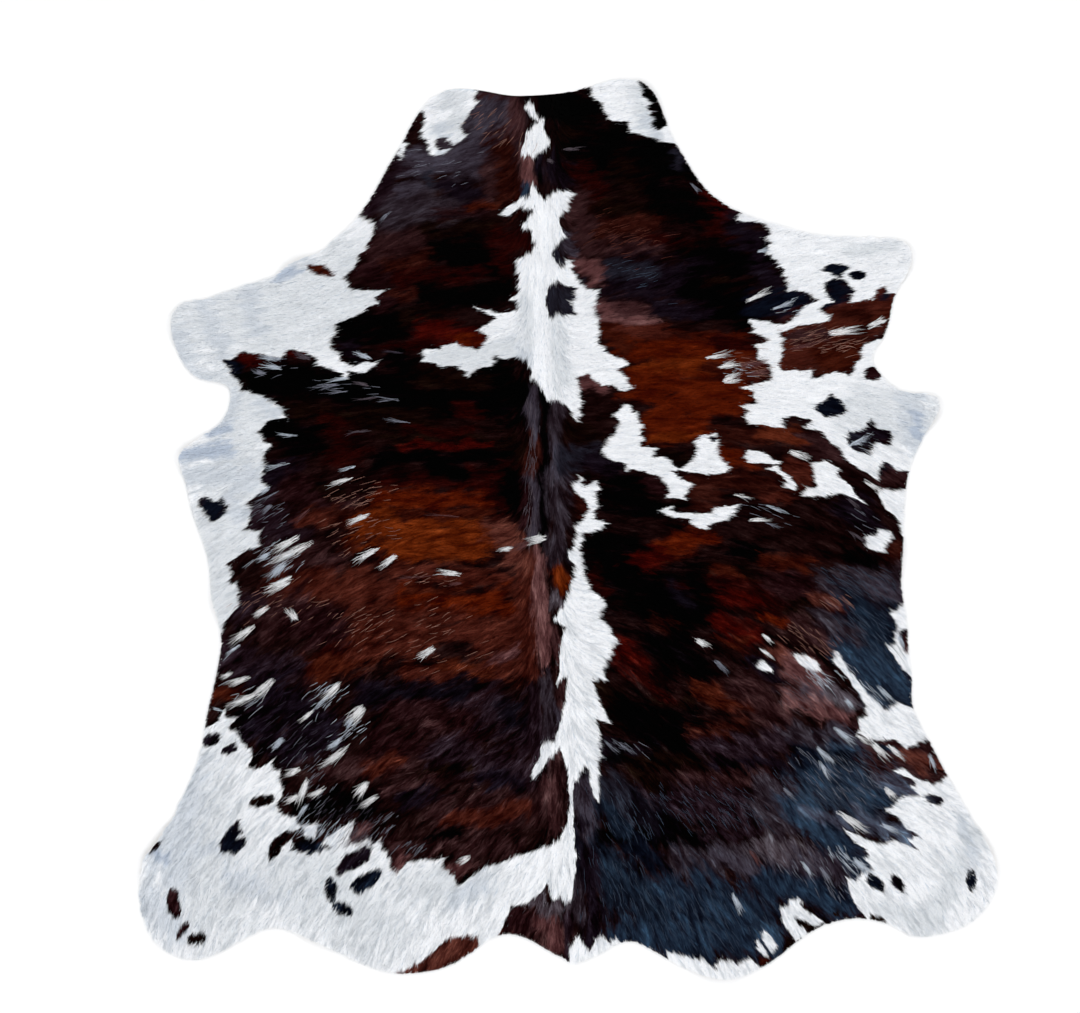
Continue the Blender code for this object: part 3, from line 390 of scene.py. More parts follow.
# small marks, each a lens from end to end and as wide as the last column
darkFlecks = [
    ("chestnut", 307, 267, 334, 275, 10), ("navy", 822, 269, 849, 268, 9), ("navy", 832, 274, 843, 274, 8),
    ("navy", 849, 275, 868, 275, 9), ("maroon", 864, 374, 882, 374, 14), ("navy", 867, 876, 884, 890, 13),
    ("plum", 891, 878, 904, 889, 11), ("iron", 925, 797, 945, 803, 9), ("navy", 971, 869, 972, 892, 11),
    ("umber", 870, 919, 887, 921, 7), ("umber", 249, 804, 275, 797, 12), ("maroon", 171, 889, 176, 919, 14),
    ("maroon", 177, 939, 189, 921, 8), ("umber", 187, 942, 206, 937, 12), ("maroon", 149, 853, 162, 841, 6),
    ("plum", 203, 745, 220, 735, 14), ("plum", 221, 752, 238, 746, 8), ("navy", 350, 892, 380, 872, 16),
    ("navy", 333, 903, 353, 915, 13), ("navy", 331, 904, 331, 875, 12), ("umber", 783, 952, 793, 939, 9),
    ("umber", 795, 921, 818, 931, 6), ("umber", 832, 914, 840, 911, 5), ("chestnut", 759, 964, 772, 958, 6),
    ("navy", 709, 437, 715, 441, 6), ("slate", 881, 688, 896, 703, 6), ("umber", 270, 861, 280, 846, 8),
    ("navy", 295, 847, 324, 848, 13), ("mauve", 350, 842, 370, 824, 16), ("slate", 875, 745, 900, 752, 5),
    ("ash", 905, 780, 916, 784, 5),
]
paleFlecks = [
    ("white", 274, 551, 300, 536, 7), ("white", 266, 566, 315, 541, 8), ("frost", 270, 578, 288, 560, 7),
    ("frost", 258, 560, 272, 552, 4), ("white", 268, 590, 293, 578, 10), ("white", 289, 610, 298, 621, 7),
    ("white", 255, 615, 270, 606, 6), ("white", 232, 642, 255, 625, 6), ("frost", 224, 656, 240, 645, 3),
    ("white", 222, 678, 233, 672, 4), ("white", 230, 684, 252, 676, 5), ("white", 256, 695, 274, 679, 9),
    ("white", 226, 707, 262, 692, 6), ("frost", 212, 708, 225, 711, 3), ("white", 324, 697, 342, 682, 7),
    ("frost", 318, 706, 330, 694, 3), ("white", 300, 722, 314, 710, 4), ("white", 350, 720, 365, 706, 12),
    ("frost", 346, 728, 354, 716, 5), ("frost", 272, 748, 284, 738, 7), ("white", 320, 767, 351, 745, 7),
    ("frost", 328, 748, 344, 738, 5), ("white", 286, 775, 302, 768, 6), ("white", 298, 803, 308, 778, 7),
    ("white", 286, 802, 300, 795, 6), ("white", 310, 797, 326, 787, 5), ("white", 369, 781, 356, 795, 9),
    ("white", 379, 795, 362, 806, 6), ("frost", 298, 817, 308, 803, 4), ("white", 420, 657, 436, 646, 6),
    ("white", 350, 522, 371, 514, 5), ("white", 356, 560, 380, 547, 6), ("white", 382, 566, 397, 555, 6),
    ("white", 440, 572, 463, 575, 5), ("rose", 398, 579, 436, 575, 2), ("rose", 450, 585, 463, 583, 3),
    ("rose", 428, 514, 460, 517, 2), ("rose", 297, 521, 311, 508, 3), ("frost", 342, 470, 357, 466, 3),
    ("white", 332, 484, 354, 477, 4), ("frost", 266, 468, 292, 462, 2), ("frost", 260, 494, 270, 487, 4),
    ("smoke", 262, 500, 280, 490, 2), ("smoke", 263, 512, 272, 504, 5), ("frost", 280, 434, 299, 436, 3),
    ("pewter", 350, 433, 372, 430, 2), ("smoke", 388, 420, 412, 423, 2), ("pewter", 357, 399, 380, 397, 2),
    ("smoke", 378, 397, 400, 401, 2), ("smoke", 312, 387, 342, 384, 3), ("smoke", 326, 393, 352, 391, 2),
    ("frost", 330, 380, 352, 377, 3), ("pewter", 352, 382, 370, 386, 3), ("fog", 384, 352, 408, 353, 2),
    ("frost", 355, 352, 373, 360, 4), ("smoke", 254, 370, 266, 375, 5), ("frost", 262, 357, 286, 361, 4),
    ("frost", 262, 365, 284, 369, 4), ("pewter", 296, 355, 311, 359, 5), ("smoke", 392, 211, 379, 221, 3),
    ("white", 459, 862, 471, 856, 6), ("white", 500, 550, 514, 548, 5), ("rose", 514, 549, 532, 541, 6),
    ("white", 529, 541, 547, 537, 8), ("white", 733, 494, 750, 498, 3), ("frost", 764, 505, 784, 512, 3),
    ("white", 748, 520, 768, 519, 4), ("smoke", 764, 522, 780, 527, 2), ("white", 762, 634, 771, 642, 4),
    ("white", 759, 647, 772, 658, 4), ("white", 744, 303, 766, 291, 5), ("frost", 770, 310, 792, 302, 3),
    ("white", 703, 358, 728, 354, 5), ("white", 718, 368, 736, 364, 5), ("white", 722, 381, 738, 377, 9),
    ("rose", 738, 366, 764, 362, 6), ("rose", 746, 374, 768, 372, 4), ("white", 694, 639, 708, 646, 6),
    ("smoke", 714, 659, 726, 671, 5), ("frost", 732, 893, 741, 910, 5), ("smoke", 783, 788, 794, 799, 4),
    ("white", 836, 811, 868, 832, 7), ("white", 884, 787, 895, 798, 6), ("frost", 833, 728, 852, 741, 6),
    ("frost", 815, 746, 831, 761, 5), ("frost", 818, 760, 829, 777, 4), ("white", 855, 734, 868, 743, 4),
    ("white", 868, 740, 885, 757, 7), ("white", 886, 744, 903, 758, 5), ("white", 862, 479, 881, 491, 4),
    ("pewter", 845, 496, 859, 508, 3), ("pewter", 846, 529, 868, 544, 3), ("white", 788, 451, 807, 458, 6),
    ("frost", 845, 699, 853, 708, 5), ("frost", 876, 685, 892, 700, 5), ("frost", 898, 634, 904, 648, 4),
    ("smoke", 602, 739, 620, 753, 2), ("smoke", 616, 740, 630, 751, 2), ("rose", 748, 848, 760, 864, 4),
    ("frost", 801, 861, 812, 875, 4), ("smoke", 820, 866, 830, 882, 4), ("frost", 880, 824, 898, 832, 5),
    ("frost", 756, 252, 770, 249, 4), ("smoke", 690, 182, 700, 192, 3), ("pewter", 562, 150, 580, 148, 3),
    ("pewter", 546, 159, 553, 163, 4), ("white", 866, 328, 890, 318, 7), ("white", 828, 334, 860, 329, 8),
    ("rose", 784, 352, 832, 337, 3), ("frost", 846, 446, 870, 437, 4), ("frost", 851, 858, 870, 873, 6),
    ("frost", 928, 752, 936, 770, 4),
]

# where long pale hairs grow among the dark ones: as toneStrokes, then hairs to 100 square steps
wispStrokes = [
    ("smoke", 316, 384, 350, 390, 8, 1.2), ("smoke", 350, 380, 400, 400, 6, 1),
    ("smoke", 262, 366, 300, 372, 8, 0.8), ("flax", 340, 498, 400, 490, 13, 2),
    ("flax", 330, 530, 400, 530, 18, 1.2), ("flax", 410, 575, 450, 580, 8, 2),
    ("smoke", 262, 500, 285, 520, 14, 2), ("frost", 262, 552, 300, 560, 14, 3),
    ("flax", 250, 600, 330, 610, 20, 0.8), ("frost", 230, 690, 270, 700, 10, 1.5),
    ("frost", 314, 702, 345, 682, 12, 3), ("fog", 250, 725, 330, 730, 20, 1.2),
    ("frost", 340, 735, 366, 722, 10, 4), ("smoke", 290, 760, 340, 750, 18, 0.8),
    ("smoke", 290, 790, 340, 790, 18, 1.2), ("fog", 320, 805, 380, 815, 16, 2),
    ("frost", 300, 825, 345, 830, 12, 5), ("pewter", 352, 830, 368, 840, 12, 10),
    ("smoke", 402, 848, 432, 840, 8, 2.5), ("flax", 340, 620, 500, 640, 30, 0.6),
    ("smoke", 380, 830, 400, 820, 10, 3), ("smoke", 410, 165, 470, 160, 18, 0.7),
    ("flax", 480, 110, 515, 140, 18, 1.2), ("fawn", 590, 228, 650, 244, 16, 2.5),
    ("flint", 606, 262, 656, 290, 16, 1), ("flax", 735, 360, 765, 375, 10, 3),
    ("frost", 722, 362, 745, 370, 8, 2), ("frost", 775, 305, 800, 312, 10, 2),
    ("flax", 785, 335, 850, 345, 14, 3), ("frost", 848, 450, 868, 436, 9, 2),
    ("smoke", 730, 500, 790, 515, 14, 0.5), ("smoke", 845, 500, 885, 530, 12, 0.8),
    ("flint", 826, 578, 900, 584, 14, 4), ("flax", 820, 598, 850, 600, 8, 3),
    ("flint", 850, 610, 900, 660, 24, 3), ("flax", 790, 630, 830, 650, 16, 2),
    ("pewter", 780, 690, 830, 690, 18, 4), ("frost", 806, 668, 826, 682, 6, 12),
    ("frost", 838, 660, 880, 705, 9, 4), ("flint", 820, 750, 880, 770, 20, 4),
    ("smoke", 805, 755, 872, 790, 20, 2), ("flint", 790, 790, 870, 800, 24, 5),
    ("flint", 650, 800, 760, 810, 20, 2), ("flint", 600, 800, 650, 830, 22, 2),
    ("pewter", 740, 845, 820, 850, 14, 4), ("flint", 600, 880, 740, 920, 34, 2),
    ("smoke", 780, 862, 850, 885, 14, 1.5), ("frost", 828, 845, 862, 868, 9, 5),
    ("smoke", 606, 738, 640, 750, 9, 2), ("pewter", 535, 900, 560, 910, 8, 5),
    ("pewter", 532, 400, 532, 540, 5, 6),
]
print("markings charted:", len(whitePatches) + len(darkSpots) + len(darkFlecks) + len(paleFlecks))

# how the hair is combed: degrees from straight down the chart, outwards from the backbone
# across, down, lean
combing = {
    "spread": 34.0,  # how far each guide reaches, in chart steps
    "straight": 5.0,  # how far beside the backbone the hair still runs straight back
    "parting": 34.0,  # how soon past that it turns outwards
    "left": [
        (500, 110, 48), (460, 160, 70), (430, 125, 60), (420, 172, 88), (400, 210, 62),
        (384, 216, 55), (478, 196, 62), (460, 212, 84), (480, 240, 88), (400, 262, 70),
        (440, 275, 82), (430, 332, 80), (360, 280, 66), (350, 330, 74), (250, 330, 85),
        (180, 310, 85), (340, 385, 88), (300, 370, 80), (240, 370, 68), (400, 400, 90),
        (480, 430, 91), (300, 430, 86), (330, 470, 72), (290, 500, 58), (260, 560, 55),
        (400, 500, 85), (350, 500, 65), (450, 540, 86), (500, 510, 80), (360, 560, 60),
        (300, 600, 54), (250, 630, 51), (420, 620, 68), (480, 600, 75), (500, 640, 64),
        (350, 660, 52), (300, 690, 50), (250, 695, 58), (430, 700, 62), (500, 720, 52),
        (530, 790, 34), (330, 760, 50), (400, 780, 58), (460, 800, 58), (505, 820, 60),
        (300, 820, 45), (250, 800, 40), (220, 850, 34), (170, 900, 24), (350, 850, 34),
        (400, 850, 42), (460, 862, 46), (500, 872, 36), (260, 900, 28), (330, 910, 24),
        (430, 920, 22), (480, 900, 24), (530, 930, 16), (200, 760, 40), (180, 940, 14),
        (230, 450, 75), (210, 520, 60)],
    "right": [
        (600, 110, 95), (620, 180, 103), (572, 147, 96), (580, 236, 122), (620, 225, 107),
        (650, 280, 112), (700, 200, 80), (720, 250, 104), (745, 295, 110), (785, 300, 106),
        (850, 250, 96), (870, 322, 100), (820, 350, 106), (660, 330, 92), (700, 352, 88),
        (750, 370, 82), (660, 400, 90), (640, 432, 96), (695, 388, 97), (780, 430, 84),
        (860, 440, 66), (900, 400, 74), (800, 458, 68), (720, 490, 86), (770, 510, 77),
        (830, 500, 60), (872, 490, 54), (600, 500, 85), (620, 600, 86), (700, 560, 86),
        (780, 560, 70), (850, 540, 58), (880, 580, 50), (840, 640, 44), (882, 660, 40),
        (770, 640, 52), (700, 640, 62), (640, 660, 50), (710, 706, 68), (780, 700, 50),
        (845, 700, 42), (620, 742, 58), (620, 800, 28), (700, 790, 44), (780, 780, 42),
        (840, 790, 42), (885, 830, 56), (620, 870, 24), (700, 870, 33), (780, 860, 32),
        (824, 872, 24), (600, 930, 8), (650, 930, 24), (700, 930, 30), (765, 940, 33),
        (800, 912, 36), (880, 880, 40), (940, 870, 44), (930, 800, 60), (912, 760, 60),
        (960, 912, 20), (852, 858, 46)],
    # the backbone: across at each down
    "backboneDown": [62, 200, 487, 621, 716, 812, 996],
    "backboneAcross": [540, 542, 543, 547, 553, 566, 572],
}

noiseCells = 256    # the noise repeats after so many lumps


def softStep(value):
    value = np.clip(value, 0.0, 1.0)
    return value * value * (3.0 - 2.0 * value)


def backboneAt(down):
    return np.interp(down, combing["backboneDown"], combing["backboneAcross"])


def hairRun(across, down):
    # the way the hair lies at each place, as a step across and a step down
    beside = across - backboneAt(down)
    run = np.zeros((2, across.size))
    for name, side in (("left", -1.0), ("right", 1.0)):
        mine = beside < 0.0 if side < 0.0 else beside >= 0.0
        total = np.zeros((2, mine.sum()))
        for guideAcross, guideDown, lean in combing[name]:
            apart = (across[mine] - guideAcross) ** 2 + (down[mine] - guideDown) ** 2
            pull = 1.0 / (apart + combing["spread"] ** 2) ** 2
            total += pull * np.array([[side * np.sin(radians(lean))], [np.cos(radians(lean))]])
        run[:, mine] = total / np.linalg.norm(total, axis=0)
    share = softStep((np.abs(beside) - combing["straight"]) / combing["parting"])
    run = run * share + np.array([[0.0], [1.0]]) * (1.0 - share)
    return run / np.linalg.norm(run, axis=0)


def between(corner, u, v):
    # the value inside a cell, from its four corners and how far along its sides the place is
    upper = corner(0, 0) * (1.0 - u) + corner(1, 0) * u
    lower = corner(0, 1) * (1.0 - u) + corner(1, 1) * u
    return upper * (1.0 - v) + lower * v


def lumps(across, down, size, seed):
    # smooth noise from -1 to 1 with lumps about size wide
    table = np.random.default_rng(seed).uniform(-1.0, 1.0, (noiseCells, noiseCells))
    u, v = across / size, down / size
    column, row = np.floor(u).astype(int), np.floor(v).astype(int)

    def corner(right, below):
        return table[(row + below) % noiseCells, (column + right) % noiseCells]

    return between(corner, softStep(u - column), softStep(v - row))


def streaks(across, down, run, size, seed):
    # noise drawn out along the hair, from about -1 to 1. size is a streak's width and length
    width, length = size
    steps = np.linspace(-0.5, 0.5, 7) * length
    total = sum(lumps(across + step * run[0], down + step * run[1], width, seed) for step in steps)
    return total / 1.6  # brings the seven together to about -1 to 1


def inBox(across, down, corners, reach=0.0):
    # true for the places in the box round some corners, reach wider on every side
    low, high = np.min(corners, axis=0) - reach, np.max(corners, axis=0) + reach
    return (across > low[0]) & (across < high[0]) & (down > low[1]) & (down < high[1])


def inOutline(across, down, outline):
    # true for the places inside a closed outline
    corners = np.array(outline, float)
    near = inBox(across, down, corners)
    x, y = across[near], down[near]
    hit = np.zeros(x.size, bool)
    for (x0, y0), (x1, y1) in zip(corners, np.roll(corners, -1, axis=0)):
        if y0 != y1:
            hit ^= ((y0 > y) != (y1 > y)) & (x < x0 + (y - y0) * (x1 - x0) / (y1 - y0))
    found = np.zeros(across.size, bool)
    found[near] = hit
    return found


def fromLine(across, down, start, end):
    # how far each place is from a straight line, and how far along it, from 0 to 1
    reach = np.array([end[0] - start[0], end[1] - start[1]], float)
    long = max(float(reach @ reach), 1e-6)
    along = np.clip(((across - start[0]) * reach[0] + (down - start[1]) * reach[1]) / long, 0.0, 1.0)
    aside = np.hypot(across - start[0] - along * reach[0], down - start[1] - along * reach[1])
    return aside, along


def inFleck(across, down, start, end, width):
    # the places inside a lens, and how deep each is in it: 1 on its middle line and 0 on its rim
    near = inBox(across, down, (start, end), 0.5 * width + 1.0)
    aside, along = fromLine(across[near], down[near], start, end)
    half = 0.5 * width * np.sqrt(np.maximum(0.0, 1.0 - (2.0 * along - 1.0) ** 2)) + 0.01
    depth = 1.0 - aside / half
    return np.flatnonzero(near)[depth > 0.0], depth[depth > 0.0]


def light(tone):
    # a named tone as linear light
    value = np.array(hairTones[tone], float) / 255.0
    return np.where(value <= 0.04045, value / 12.92, ((value + 0.055) / 1.055) ** 2.4)


# how the coat is coloured. Lengths are in chart steps, and a streak is its width and length
coat = {
    "strokeReach": 1.55,    # how far a stroke of colour reaches, in half widths
    "strokeRim": 1.1,       # how much of that its soft rim takes
    "fray": (3.2, 12.0),    # the streaks that fray the markings
    "tuftAlong": 1.3,       # how far the edge of a marking frays along the hair
    "tuftAcross": 0.8,
    "wander": 5.0,          # how wide the lumps are that bend the edges sideways
    "toneStreak": (4.5, 30.0),  # the same for the broad tones
    "toneFray": 5.0,
    "toneWander": (17.0, 13.0),
    "toneSway": 4.0,
    "toneEdge": (3.0, 26.0),
    "edgeShare": 0.35,
    "brindle": 0.56,        # how strongly dark hair varies from streak to streak
    "fine": (1.5, 9.0),     # the fine streaks
    "wide": (4.5, 17.0),    # the wide streaks
    "band": 0.9,            # share of the brindle which lies in wide streaks
    "lockShare": 0.5,       # and which changes from lock to lock
    "coolShare": 0.62,      # and which the bluish painted sheen keeps, as it is evener
    "warmShare": 0.68,      # and which the lightest warm hair keeps
    "warmLight": 0.07,      # how much red light the lightest warm hair has
    "lighterShare": 0.8,    # how strong lighter streaks are beside darker ones
    "darker": (0.125, 0.075),   # evens out the light that the brindle adds
    "redder": (1.0, 1.25, 1.2),     # how the brindle acts on red, green and blue
    "calmDown": (380, 720),     # the neck's hair lies smoother than the rump's: from here to there
    "calmShare": (0.55, 1.0),   # the liveliness grows so
    "fleckCore": (0.25, 0.72),  # where along a pale fleck its solid middle starts and ends
    "coreWidth": 0.55,      # how wide that is, as a share of the fleck
    "coreFill": (1.6, 0.9, 1.2, 0.92),  # its cover: by depth, at least, less by chance, at most
    "fleckLeast": 4,        # thinner ones are long hairs alone
    "whiteStreak": (1.7, 13.0),
    "whiteLumps": 7.0,
    "whiteMix": (0.3, 0.5, 1.4, 0.4),   # share of lumps, middle, spread and chance of the shade
    "whiteShade": 0.37,     # how much of the white turns to its blue-grey shade
    "shadeTint": (0.72, 0.738, 0.753),
    "shadeFray": 3.0,
    "brightness": 1.15,     # makes up for the shade that locks cast on each other
    "gloss": 0.0015,        # light that the dark hair's gloss adds to its own colour
    "seed": 41,
}


def broadTones(strokes, base, across, down, edge):
    # soft strokes of colour, each painted over the ones before
    colour = np.tile(light(base), (across.size, 1))
    for tone, x0, y0, x1, y1, width in strokes:
        near = inBox(across, down, ((x0, y0), (x1, y1)), 2.0 * width + 4.0)
        aside, along = fromLine(across[near], down[near], (x0, y0), (x1, y1))
        share = softStep((coat["strokeReach"] - aside / width + edge[near]) / coat["strokeRim"])[:, None]
        colour[near] += share * (light(tone) - colour[near])
    return colour


def liveliness(down):
    return np.interp(down, coat["calmDown"], coat["calmShare"])


def coatColour(across, down, run):
    # the colour of the hair that shows at each place, with its painted sheen and shade, as linear red,
    # green and blue
    seed = coat["seed"]
    dice = np.random.default_rng(seed)
    fray = streaks(across, down, run, coat["fray"], seed)
    sway = coat["tuftAcross"] * lumps(across, down, coat["wander"], seed + 1)
    markAcross = across + coat["tuftAlong"] * fray * run[0] - sway * run[1]
    markDown = down + coat["tuftAlong"] * fray * run[1] + sway * run[0]

    # the broad tones
    broad = coat["toneFray"] * streaks(across, down, run, coat["toneStreak"], seed + 2)
    swayAcross, swayDown = (
        coat["toneSway"] * lumps(across, down, size, seed + more)
        for size, more in zip(coat["toneWander"], (3, 4))
    )
    edge = coat["edgeShare"] * streaks(across, down, run, coat["toneEdge"], seed + 5)
    toneAcross, toneDown = across + broad * run[0] + swayAcross, down + broad * run[1] + swayDown
    colour = broadTones(toneStrokes, groundTone, toneAcross, toneDown, edge)

    # brindle: darker and lighter streaks, the darker ones redder
    fine = streaks(across, down, run, coat["fine"], seed + 6)
    fine += coat["band"] * streaks(across, down, run, coat["wide"], seed + 7)
    fine += coat["lockShare"] * dice.normal(size=across.size)
    warm = 1.0 - (1.0 - coat["warmShare"]) * softStep(colour[:, 0] / coat["warmLight"])
    life = liveliness(down) * np.where(colour[:, 2] > colour[:, 0], coat["coolShare"], warm)
    fine *= life * np.where(fine > 0.0, coat["lighterShare"], 1.0)
    factor = np.exp(coat["brindle"] * fine - coat["darker"][0] - coat["darker"][1] * life ** 2)
    streaked = factor[:, None] ** coat["redder"]
    dark = np.maximum(colour * streaked - coat["gloss"], 0.0)

    # the white, with painted cool shade between the locks
    lumpShare, middle, spread, chance = coat["whiteMix"]
    pale = streaks(across, down, run, coat["whiteStreak"], seed + 8)
    pale += lumpShare * lumps(across, down, coat["whiteLumps"], seed + 9)
    pale = middle + spread * liveliness(down) ** 2 * pale + chance * dice.random(across.size)
    pale = np.clip(coat["whiteShade"] * pale, 0.0, 1.0)[:, None]
    frayed = coat["shadeFray"] * fray * run
    white = broadTones(shadeStrokes, "white", across + frayed[0], down + frayed[1], edge)
    white = white * (1.0 - pale) + white * coat["shadeTint"] * pale

    isWhite = np.zeros(across.size, bool)
    for outline in whitePatches.values():
        isWhite |= inOutline(markAcross, markDown, outline)
    colour = np.where(isWhite[:, None], white, dark)

    # the spots inside the white, and the small marks
    for outline in darkSpots.values():
        inside = inOutline(markAcross, markDown, outline)
        colour[inside] = dark[inside]
    for tone, x0, y0, x1, y1, width in darkFlecks:
        inside = inFleck(markAcross, markDown, (x0, y0), (x1, y1), width)[0]
        colour[inside] = np.maximum(light(tone) * streaked[inside] - coat["gloss"], 0.0)
    ragged = dice.random(across.size)
    byDepth, least, byChance, most = coat["coreFill"]
    for tone, x0, y0, x1, y1, width in paleFlecks:
        if width >= coat["fleckLeast"]:
            start, end = ((x0 + part * (x1 - x0), y0 + part * (y1 - y0)) for part in coat["fleckCore"])
            inside, depth = inFleck(markAcross, markDown, start, end, coat["coreWidth"] * width)
            share = np.clip(depth * byDepth + least - byChance * ragged[inside], 0.0, most)[:, None]
            colour[inside] += share * (light(tone) - colour[inside])
    return np.clip(colour * coat["brightness"], 0.0, 1.0)


# how the solid is read: its cut edge, its underside and how far each place is from the edge
survey = {
    "edgeSpacing": 9.0 * mm,
    "edgeEasing": 3,        # passes that round the edge's corners
    "undersideStep": 5.0 * mm,
    "edgeStep": 8.0 * mm,
    "margin": 40.0 * mm,    # how far past the hide both are known
    "spreads": 9,           # passes that carry the underside out into the margin
    "easings": 2,           # passes that ease the solid's flat facets
}


def eased(values, axis):
    return 0.25 * np.roll(values, 1, axis) + 0.5 * values + 0.25 * np.roll(values, -1, axis)


def cutEdge(node):
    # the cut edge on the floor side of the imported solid, in order round it
    shape = bmesh.new()
    shape.from_mesh(node.data)
    bmesh.ops.remove_doubles(shape, verts=shape.verts, dist=0.01 * mm)
    shape.normal_update()
    under = {face for face in shape.faces if face.normal.z < -0.5}
    rim = {edge for edge in shape.edges if sum(face in under for face in edge.link_faces) == 1}
    places = []
    vert = max((vert for edge in rim for vert in edge.verts), key=lambda vert: tuple(vert.co))
    while rim:
        edge = next((edge for edge in vert.link_edges if edge in rim), None)
        if edge is None:
            break
        rim.discard(edge)
        places.append(vert.co.xy.copy())
        vert = edge.other_vert(vert)
    shape.free()
    return places


def roundedLoop(places):
    # the same loop with even spacing, its corners eased
    corners = np.array([place[:] for place in places + places[:1]])
    walked = np.concatenate([[0.0], np.cumsum(np.linalg.norm(np.diff(corners, axis=0), axis=1))])
    count = round(walked[-1] / survey["edgeSpacing"])
    along = np.linspace(0.0, walked[-1], count, endpoint=False)
    loop = np.stack([np.interp(along, walked, corners[:, axis]) for axis in (0, 1)], axis=1)
    for _ in range(survey["edgeEasing"]):
        loop = eased(loop, 0)
    return [Vector(place) for place in loop]


class Field:
    # values on an even grid over the hide, read smoothly between its places
    def __init__(self, step):
        low, high = (np.array(corner[:2]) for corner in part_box("hide"))
        self.step = step
        self.low = low - survey["margin"]
        self.count = np.ceil((high + survey["margin"] - self.low) / step).astype(int) + 1
        self.values = np.zeros(self.count[::-1])

    def places(self):
        x, y = (low + self.step * np.arange(count) for low, count in zip(self.low, self.count))
        return [part.ravel() for part in np.meshgrid(x, y)]

    def at(self, x, y):
        u, v = (
            np.clip((value - low) / self.step, 0, count - 1.001)  # inside the last cell
            for value, low, count in zip((x, y), self.low, self.count)
        )
        column, row = u.astype(int), v.astype(int)
        return between(
            lambda right, below: self.values[row + below, column + right], u - column, v - row
        )


def undersideField(node):
    # height of the solid's underside over the floor, spread outwards past the cut edge
    field = Field(survey["undersideStep"])
    mesh = node.data
    corners = [vert.co for vert in mesh.vertices]
    tree = BVHTree.FromPolygons(corners, [tuple(face.vertices) for face in mesh.polygons])
    upwards = Vector((0.0, 0.0, 1.0))
    heights = np.full(field.values.size, np.nan)
    for i, (x, y) in enumerate(zip(*field.places())):
        place = tree.ray_cast(Vector((x, y, -1.0)), upwards)[0]
        if place is not None:
            heights[i] = place.z
    heights = heights.reshape(field.values.shape)
    for _ in range(survey["spreads"]):
        around = np.stack([np.roll(heights, shift, axis) for axis in (0, 1) for shift in (-1, 1)])
        known = ~np.isnan(around)
        total = np.where(known, around, 0.0).sum(axis=0)
        spread = np.where(known.any(axis=0), total / np.maximum(known.sum(axis=0), 1), np.nan)
        heights = np.where(np.isnan(heights), spread, heights)
    heights = np.nan_to_num(heights)
    for _ in range(survey["easings"]):
        for axis in (0, 1):
            heights = eased(heights, axis)
    field.values = heights
    return field


def edgeField(loop):
    # how far each place is inside the cut edge, and below 0 outside
    field = Field(survey["edgeStep"])
    x, y = field.places()
    nearest = np.full(x.size, np.inf)
    for start, end in zip(loop, loop[1:] + loop[:1]):
        nearest = np.minimum(nearest, fromLine(x, y, start, end)[0])
    field.values = np.where(inOutline(x, y, loop), nearest, -nearest).reshape(field.values.shape)
    return field


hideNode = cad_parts["hide"]
edgeLoop = roundedLoop(cutEdge(hideNode))
underside = undersideField(hideNode)
fromEdge = edgeField(edgeLoop)
print("cut edge read:", len(edgeLoop), "places")

leather = {
    "thickness": 2.0 * mm,
    "inset": 5.0 * mm,      # the hair hides this much past the leather's edge
    "cell": 12.5 * mm,
    "darkRootShade": 0.58,      # how much of its colour the dark hair keeps at its roots, which are painted in shade
    "paleRootShade": (0.80, 0.85, 0.91),
    "paleLight": 0.4,       # how much red light counts as white hair
}


def objectFrom(mesh):
    made = bpy.data.objects.new(mesh.name, mesh)
    bpy.context.collection.objects.link(made)
    return made


def leatherSheet():
    shape = bmesh.new()
    face = shape.faces.new([shape.verts.new((*place, 0.0)) for place in edgeLoop])
    face.normal_update()
    if face.normal.z < 0.0:
        face.normal_flip()
    ring = bmesh.ops.inset_region(
        shape, faces=[face], thickness=leather["inset"], use_even_offset=True, use_boundary=True
    )["faces"]
    bmesh.ops.delete(shape, geom=ring, context="FACES")
    low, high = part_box("hide")
    for axis, normal in enumerate((Vector((1.0, 0.0, 0.0)), Vector((0.0, 1.0, 0.0)))):
        for place in np.arange(low[axis] + leather["cell"], high[axis], leather["cell"]):
            everything = shape.verts[:] + shape.edges[:] + shape.faces[:]
            bmesh.ops.bisect_plane(
                shape, geom=everything, dist=0.05 * mm, plane_co=normal * place, plane_no=normal
            )
    bmesh.ops.triangulate(shape, faces=[face for face in shape.faces if len(face.verts) > 4])
    raised = bmesh.ops.extrude_face_region(shape, geom=shape.faces[:])
    top = {item for item in raised["geom"] if isinstance(item, bmesh.types.BMVert)}
    x, y = (np.array([vert.co[axis] for vert in shape.verts]) for axis in (0, 1))
    for vert, height in zip(shape.verts, underside.at(x, y)):
        vert.co.z = height + (leather["thickness"] if vert in top else 0.0)
    bmesh.ops.recalc_face_normals(shape, faces=shape.faces)
    for face in shape.faces:
        face.smooth = True
        face.material_index = 0 if all(vert in top for vert in face.verts) else 1
    mesh = bpy.data.meshes.new("leather")
    shape.to_mesh(mesh)
    shape.free()
    return objectFrom(mesh)


def paintedRootShade(colour):
    # painted shade at the roots, where the locks shade the leather and each other: dark hair much darker
    # there, white hair a little cooler
    pale = softStep(colour[:, :1] / leather["paleLight"])
    return leather["darkRootShade"] * (1.0 - pale) + np.array([leather["paleRootShade"]]) * pale


def paint(piece, colours):
    layer = piece.data.color_attributes.new("coat", "FLOAT_COLOR", "POINT")
    rgba = np.ones((len(colours), 4), np.float32)
    rgba[:, :3] = colours
    layer.data.foreach_set("color", rgba.ravel())


sheet = leatherSheet()
spots = np.empty(len(sheet.data.vertices) * 3)
sheet.data.vertices.foreach_get("co", spots)
chartAcross, chartDown = toChart(spots[0::3], spots[1::3])
rootColour = coatColour(chartAcross, chartDown, hairRun(chartAcross, chartDown))
# the leather takes the coat's colour under the painted shade of the roots
paint(sheet, rootColour * paintedRootShade(rootColour))
print("leather made:", len(sheet.data.polygons), "faces")

